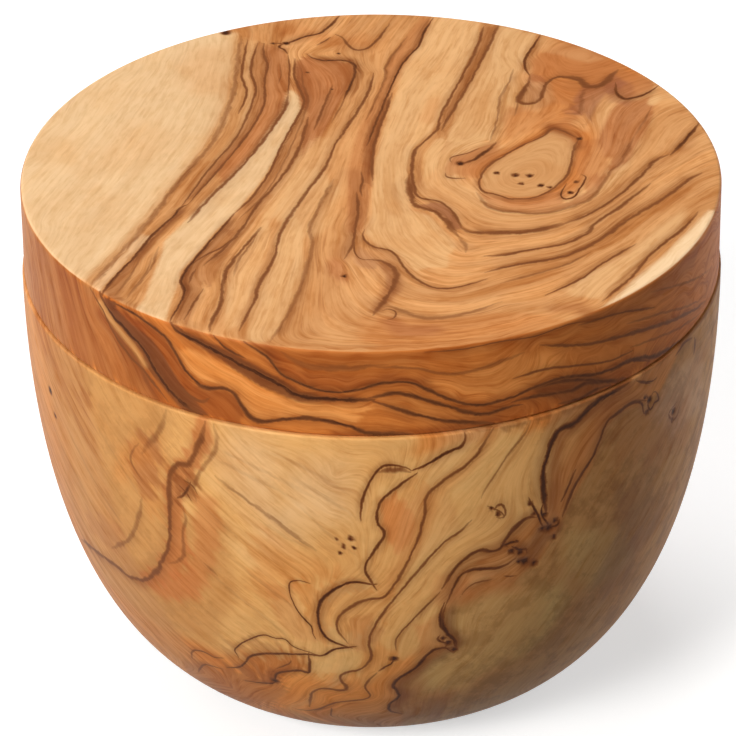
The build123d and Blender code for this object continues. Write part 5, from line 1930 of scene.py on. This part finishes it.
@dataclass
class Grown:
    """Everything that the wood's figure needs, and how it goes onto a piece."""

    surface: Surface
    growth: Growth
    painter: Painter
    grain_rings: tuple[float, ...] = (
        -31.5, -27.3, -22.9, -19.4, -14.8, -11.0, -7.1, -3.0, 0.6, 6.0, 9.2, 13.0, 17.0)
    grain_width: float = 0.42
    hand_edge: tuple[float, float] = (64.0, 80.0)
    patch_edge: tuple[float, float] = (90.0, 124.0)
    wall_fade: tuple[float, float] = (1.2, 0.6)
    top_fade: tuple[float, float] = (0.7, 0.3)
    wall_skin: float = 0.9
    top_skin: float = 0.12
    ring_fray: float = 1.2
    turn_fray: tuple[float, float] = (7.0, 5.0)
    no_vein: tuple[float, float, float] = (99.0, 99.0, 0.0)
    smoothings: int = 12

    def drawn_share(self, places: np.ndarray) -> np.ndarray:
        """1 where the listed veins are drawn, and 0 where they come from the rings alone.

        Args:
            places: Places in mm.

        Returns:
            One share for each place.
        """
        turn = np.abs(np.degrees(bearing(places)))
        low, high = self.hand_edge
        ahead = 1 - np.clip((turn - low) / (high - low), 0, 1)
        radius = np.hypot(places[:, 0], places[:, 1])
        outside = np.interp(places[:, 2], self.surface.heights, self.surface.radii)
        reach, soft = self.wall_fade
        on_wall = np.clip((radius - outside + reach) / soft, 0, 1)
        reach, soft = self.top_fade
        on_top = np.clip((places[:, 2] - self.surface.top + reach) / soft, 0, 1)
        return np.maximum(ahead * on_wall, on_top)

    def ring_veins(self, places: np.ndarray, rings: np.ndarray, drawn: np.ndarray) -> np.ndarray:
        """Veins along chosen rings, for the sides that nothing is drawn on.

        Args:
            places: Places in mm.
            rings: The ring number at each.
            drawn: Where the listed veins are drawn, which these keep off.

        Returns:
            Rows as Veins.field returns them.
        """
        x, y, z = places.T
        bent = rings + 0.9 * np.sin(x / 7.3 + 1.2 * np.sin(z / 8.1)) + 0.6 * np.sin(z / 5.2 + y / 11.0)
        levels = np.array(self.grain_rings)
        nearest = np.abs(bent[:, None] - levels[None]).argmin(1)
        off = (bent - levels[nearest]) / self.grain_width
        depth = np.array([0.5 + 0.22 * math.sin(3.1 * k + 0.7) for k in range(len(levels))])[nearest]
        return np.column_stack([off, np.abs(off), depth * (1 - drawn)])

    def flattened(self, places: np.ndarray) -> dict[bool, np.ndarray]:
        """Places as (x, y) on the top and as (angle, height) on the wall, off each other's surface as nan.

        Args:
            places: Places in mm.

        Returns:
            The flat places on the top under True, and those on the wall under False.
        """
        turn = np.degrees(bearing(places))
        radius = np.hypot(places[:, 0], places[:, 1])
        outside = np.interp(places[:, 2], self.surface.heights, self.surface.radii)
        on_top = places[:, 2] > self.surface.top - self.top_skin
        on_wall = ~on_top & (radius > outside - self.wall_skin)
        plan = np.where(on_top[:, None], places[:, :2], np.nan)
        wall = np.where(on_wall[:, None], np.column_stack([turn, places[:, 2]]), np.nan)
        return {True: plan, False: wall}

    @staticmethod
    def flames(rings: np.ndarray) -> np.ndarray:
        """How far, in mm, an edge that cuts the grain runs out along it at each ring number."""
        return 1.3 * np.sin(2.9 * rings + 1.3 * np.sin(0.7 * rings)) + 0.9 * np.sin(6.1 * rings + 2.0)

    @staticmethod
    def across(mesh: bpy.types.Mesh, places: np.ndarray, flow: np.ndarray) -> np.ndarray:
        """The unit direction across the grain at each vertex.

        Args:
            mesh: The mesh.
            places: Its vertices in mm.
            flow: The ring number at each.

        Returns:
            One direction for each vertex.
        """
        first, second = edge_ends(mesh)
        gap = places[second] - places[first]
        rise = gap * ((flow[second] - flow[first]) / np.maximum((gap**2).sum(1), 1e-4))[:, None]
        count = len(places)
        found = np.column_stack([np.bincount(first, part, count) + np.bincount(second, part, count)
                                 for part in rise.T])
        return found / np.maximum(np.linalg.norm(found, axis=1), 1e-9)[:, None]

    @staticmethod
    def laid_flat(places: np.ndarray, directions: np.ndarray, top: bool) -> np.ndarray:
        """Directions in space as directions on the flat top or on the unrolled wall.

        Args:
            places: Where they are, in mm.
            directions: The directions.
            top: Whether they go on the flat top.

        Returns:
            Directions with two coordinates.
        """
        if top:
            return directions[:, :2]
        turn = bearing(places)
        along = directions[:, 0] * np.cos(turn) + directions[:, 1] * np.sin(turn)
        return np.column_stack([along, directions[:, 2]])

    def octave(self, mesh: bpy.types.Mesh, places: np.ndarray, flow: np.ndarray) -> np.ndarray:
        """How far the flow's rise per millimetre lies below 1, in octaves, smoothed over the mesh.

        Args:
            mesh: The mesh.
            places: Its vertices in mm.
            flow: The ring number at each.

        Returns:
            One number for each vertex.
        """
        first, second = edge_ends(mesh)
        length = np.maximum(np.linalg.norm(places[first] - places[second], axis=1), 1e-3)
        steep = ((flow[first] - flow[second]) / length) ** 2
        count = len(places)
        links = np.bincount(first, minlength=count) + np.bincount(second, minlength=count)
        links = np.maximum(links, 1)
        rise = (np.bincount(first, steep, count) + np.bincount(second, steep, count)) / links * 2
        found = -0.5 * np.log2(np.maximum(rise, 1e-4))
        for _ in range(self.smoothings):
            near = np.bincount(first, found[second], count) + np.bincount(second, found[first], count)
            found = 0.5 * found + 0.5 * near / links
        return np.clip(found, -3, 4)

    def dress(self, piece: bpy.types.Object, lines: Sequence[Line], veins: Veins,
              patches: Sequence[tuple[Sequence[Patch], bool]], washes: Sequence[tuple[Sequence[Wash], bool]],
              pits: Sequence[tuple[Sequence[Pit], bool]]) -> int:
        """Store the figure on a piece.

        Args:
            piece: The turned piece.
            lines: Its drawn lines.
            veins: The same lines in layers.
            patches: Its patches, each set with whether it is on the top.
            washes: Its washes, each set with whether it is on the top.
            pits: Its pits, likewise.

        Returns:
            How many vein layers were stored.
        """
        mesh = piece.data
        count = len(mesh.vertices)
        flat = np.empty(count * 3, np.float32)
        mesh.vertices.foreach_get("co", flat)
        places = flat.reshape(-1, 3).astype(float) / MM
        rings = self.growth.at(places)
        drawn = self.drawn_share(places)
        wander = self.painter.wander(places, rings)
        flats = self.flattened(places)
        on_top = ~np.isnan(flats[True][:, 0])
        colours = self.painter.ground_colour(rings + self.ring_fray * wander, on_top)
        across = self.across(mesh, places, rings)
        flames = self.flames(rings)
        mood = np.zeros((count, 3))
        slow, quick = self.turn_fray
        turned = np.abs(np.degrees(bearing(places))) + slow * wander + quick * flames
        low, high = self.patch_edge
        ahead = np.clip((high - turned) / (high - low), 0, 1)
        for group, top in patches:
            grain = self.laid_flat(places, across, top)
            for patch in group:
                near, share = self.painter.cover(flats[top], patch.outline, patch.feather, wander, grain,
                                                 flames * min(1.0, patch.feather) * (1 - patch.tone.calm))
                share = (share * (1.0 if top else ahead[near]) * patch.strength)[:, None]
                colours[near] += share * (patch.tone.linear - colours[near])
                mood[near] += share * (np.array([patch.tone.calm, patch.tone.mottle, 0]) - mood[near])
        for group, top in washes:
            for wash in group:
                self.painter.wash(colours, places, wander, wash, top)
        marks = np.zeros(count)
        for group, top in pits:
            for pit in group:
                self.sink(places, marks, pit, top)
        seen = np.flatnonzero(drawn > 0)
        for index, layer in enumerate(veins.layers):
            found = np.tile(self.no_vein, (count, 1))
            found[seen] = veins.field(layer, places[seen])
            found[:, 2] *= drawn
            self.store(mesh, f"veins_{index}", "FLOAT_VECTOR", "vector", found)
        along_rings = self.ring_veins(places, rings, drawn)
        self.store(mesh, f"veins_{len(veins.layers)}", "FLOAT_VECTOR", "vector", along_rings)
        mood[:, 2] = self.painter.shade(places, lines, seen) * drawn
        self.store(mesh, "flow", "FLOAT", "value", rings)
        self.store(mesh, "mood", "FLOAT_VECTOR", "vector", mood)
        self.store(mesh, "octave", "FLOAT", "value", self.octave(mesh, places, rings))
        self.store(mesh, "pit", "FLOAT", "value", marks)
        self.store(mesh, "tone", "FLOAT_COLOR", "color", np.column_stack([colours, np.ones(count)]))
        mesh.vertices.foreach_set("co", (places * MM).astype(np.float32).ravel())
        mesh.update()
        return len(veins.layers) + 1

    def sink(self, places: np.ndarray, marks: np.ndarray, pit: Pit, top: bool) -> None:
        """Press one pit into the surface and mark it.

        Args:
            places: Places in mm, which it moves.
            marks: How dark the pits are, which it raises.
            pit: The pit.
            top: Whether it is on the flat top.
        """
        given = np.array([pit.spot], float)
        spot, normal = self.surface.on_top(given) if top else self.surface.on_wall(given)
        near = np.linalg.norm(places - spot, axis=1) / pit.radius
        cover = np.clip(1.25 - near, 0, 1)
        cover = cover * cover * (3 - 2 * cover)
        places -= cover[:, None] * pit.depth * normal
        np.maximum(marks, cover, out=marks)

    @staticmethod
    def store(mesh: bpy.types.Mesh, name: str, kind: str, key: str, values: np.ndarray) -> None:
        """Store values on a mesh, one for each vertex."""
        layer = mesh.attributes.new(name, kind, "POINT")
        layer.data.foreach_set(key, np.ascontiguousarray(values, np.float32).ravel())


@dataclass
class Studio:
    """The pale floor, the soft lights and the camera."""

    elevation: float = 31.059
    distance: float = 714.0
    target: tuple[float, float, float] = (-0.693, 0.0, 46.15)
    roll: float = -0.593
    lens: float = 234.07
    sensor: float = 36.0
    aim: float = 0.045
    floor_reach: float = 3.0
    floor_level: float = -0.00002
    room_light: tuple[float, float, float, float] = (-0.15, 0.1, 0.10, 0.32)

    def camera(self) -> None:
        """Set the camera at the viewing angle."""
        rise = math.radians(self.elevation)
        ahead = Vector((0, math.cos(rise), -math.sin(rise)))
        right = Vector((1, 0, 0))
        up = right.cross(ahead)
        turn = math.radians(self.roll)
        right, up = math.cos(turn) * right + math.sin(turn) * up, math.cos(turn) * up - math.sin(turn) * right
        data = bpy.data.cameras.new("camera")
        data.lens, data.sensor_width = self.lens, self.sensor
        data.clip_start, data.clip_end = 0.01, 20
        camera = bpy.data.objects.new("camera", data)
        bpy.context.scene.collection.objects.link(camera)
        spot = Vector(self.target) * MM - ahead * self.distance * MM
        camera.matrix_world = Matrix.Translation(spot) @ Matrix((right, up, -ahead)).transposed().to_4x4()
        bpy.context.scene.camera = camera

    def light(self, name: str, place: tuple[float, float, float], size: float, power: float,
              colour: tuple[float, float, float] = (1, 1, 1)) -> None:
        """A square soft light that faces the keeper.

        Args:
            name: The light's name.
            place: Where it stands, in metres.
            size: Its side.
            power: Its power in watts.
            colour: Its colour.
        """
        data = bpy.data.lights.new(name, "AREA")
        data.shape, data.size, data.energy, data.color = "SQUARE", size, power, colour
        lamp = bpy.data.objects.new(name, data)
        bpy.context.scene.collection.objects.link(lamp)
        lamp.location = place
        aim = Vector((0, 0, self.aim)) - Vector(place)
        lamp.rotation_mode = "QUATERNION"
        lamp.rotation_quaternion = aim.to_track_quat("-Z", "Y")

    def floor(self) -> None:
        """A plain pale floor, shaded so that it reads almost white."""
        made = bpy.data.meshes.new("floor")
        reach = self.floor_reach
        corners = [(x * reach, y * reach, self.floor_level) for x, y in ((-1, -1), (1, -1), (1, 1), (-1, 1))]
        made.from_pydata(corners, [], [(0, 1, 2, 3)])
        floor = bpy.data.objects.new("floor", made)
        bpy.context.scene.collection.objects.link(floor)
        g = Graph("floor_paper")
        tooth = g.noise(g.place(), 0.3, 3, 0.6)
        colour = g.mix(tooth, (0.68, 0.68, 0.68, 1), (0.70, 0.70, 0.70, 1))
        made.materials.append(g.finish(colour, 0.9, None, 0.0,
                                       {"Emission Color": (1, 1, 1, 1), "Emission Strength": 0.52}))
        floor.visible_diffuse = False

    def world(self) -> None:
        """Even light from all round."""
        world = bpy.data.worlds.new("room")
        world.use_nodes = True
        tree = world.node_tree
        background = tree.nodes["Background"]
        split = tree.nodes.new("ShaderNodeSeparateXYZ")
        shade = tree.nodes.new("ShaderNodeMapRange")
        tree.links.new(tree.nodes.new("ShaderNodeTexCoord").outputs["Generated"], split.inputs[0])
        tree.links.new(split.outputs["Z"], shade.inputs["Value"])
        for name, value in zip(("From Min", "From Max", "To Min", "To Max"), self.room_light):
            shade.inputs[name].default_value = value
        tree.links.new(shade.outputs["Result"], background.inputs["Strength"])
        bpy.context.scene.world = world
        bpy.context.scene.view_settings.view_transform = "Standard"
        bpy.context.scene.view_settings.look = "None"

    def build(self) -> None:
        """Set everything up."""
        self.camera()
        self.floor()
        self.world()
        self.light("key", (-0.72, -0.82, 0.66), 0.5, 17.5, (1.0, 0.985, 0.96))
        self.light("top", (-0.10, 0.25, 1.2), 0.7, 5.8)
        self.light("fill", (1.0, -0.75, 0.5), 1.0, 3.5, (1.0, 0.99, 0.98))
        self.light("back left", (-0.80, 1.00, 0.50), 0.9, 7.0)
        self.light("back right", (1.05, 0.75, 0.35), 0.9, 6.5)


def main() -> None:
    """Build the studio and dress every piece."""
    logging.basicConfig(level=logging.INFO, format="%(message)s")
    Studio().build()
    lid_bores = (Bore("pivot_pin", False), Bore("lid_magnet", False))
    bowl_bores = (Bore("pivot_sleeve", True), Bore("bowl_magnet", True))
    lid = Lid("lid_wood", "lid", "lid", "lid_wood", lid_bores)
    bowl = Bowl("bowl_wood", "bowl", "bowl", "bowl_wood", bowl_bores)
    wall = [(lid.radius, lid.top), (lid.radius, lid.bottom), (bowl.rim, bowl.height - bowl.joint),
            *bowl.wall(bowl.fine).points, (bowl.foot, 0.0)]
    surface = Surface(lid.top, wall)
    on_top = [surface.line(stroke, True) for stroke in LID_TOP]
    on_lid = [surface.line(stroke, False) for stroke in LID_SIDE]
    on_bowl = [surface.line(stroke, False) for stroke in BOWL_SIDE]
    top_guides = [surface.line(stroke, True) for stroke in GUIDES_TOP]
    wall_guides = [surface.line(stroke, False) for stroke in GUIDES_WALL]
    every_line = [*on_top, *on_lid, *on_bowl, *top_guides, *wall_guides]
    growth = Growth(every_line, [*on_bowl, *wall_guides], surface)
    grown = Grown(surface, growth, Painter(surface))
    work = (
        (lid, [*on_top, *on_lid], ((LID_SIDE_PATCHES, False), (LID_TOP_PATCHES, True)),
         ((LID_SIDE_WASHES, False), (LID_TOP_WASHES, True)), ((LID_TOP_PITS, True),)),
        (bowl, on_bowl, ((BOWL_PATCHES, False),), ((BOWL_WASHES, False),), ((BOWL_PITS, False),)),
    )
    for piece, lines, patches, washes, pits in work:
        made = piece.turn()
        layers = grown.dress(made, lines, Veins(lines), patches, washes, pits)
        made.data.materials.clear()
        made.data.materials.append(OliveWood(f"olive_{piece.node}", layers).build())
        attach(made, piece.body)
        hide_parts(piece.node)
        log.info("%s: %d vertices, %d vein layers", made.name, len(made.data.vertices), layers)
    plating = ((0.66, 0.65, 0.63, 1), (0.56, 0.55, 0.53, 1), 0.42, 0.06)
    metals = {
        "pivot_pin": Metal("pin_steel", (0.56, 0.57, 0.58, 1), (0.40, 0.40, 0.41, 1), 0.26, 0.16),
        "pivot_sleeve": Metal("sleeve_brass", (0.80, 0.58, 0.28, 1), (0.62, 0.42, 0.19, 1), 0.30, 0.18),
        "bowl_magnet": Metal("magnet_plating_bowl", *plating),
        "lid_magnet": Metal("magnet_plating_lid", *plating),
    }
    for node, metal in metals.items():
        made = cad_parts[node]
        made.data.materials.clear()
        made.data.materials.append(metal.build())
        log.info("%s: %s", node, metal.name)


if __name__ == "__main__":
    main()
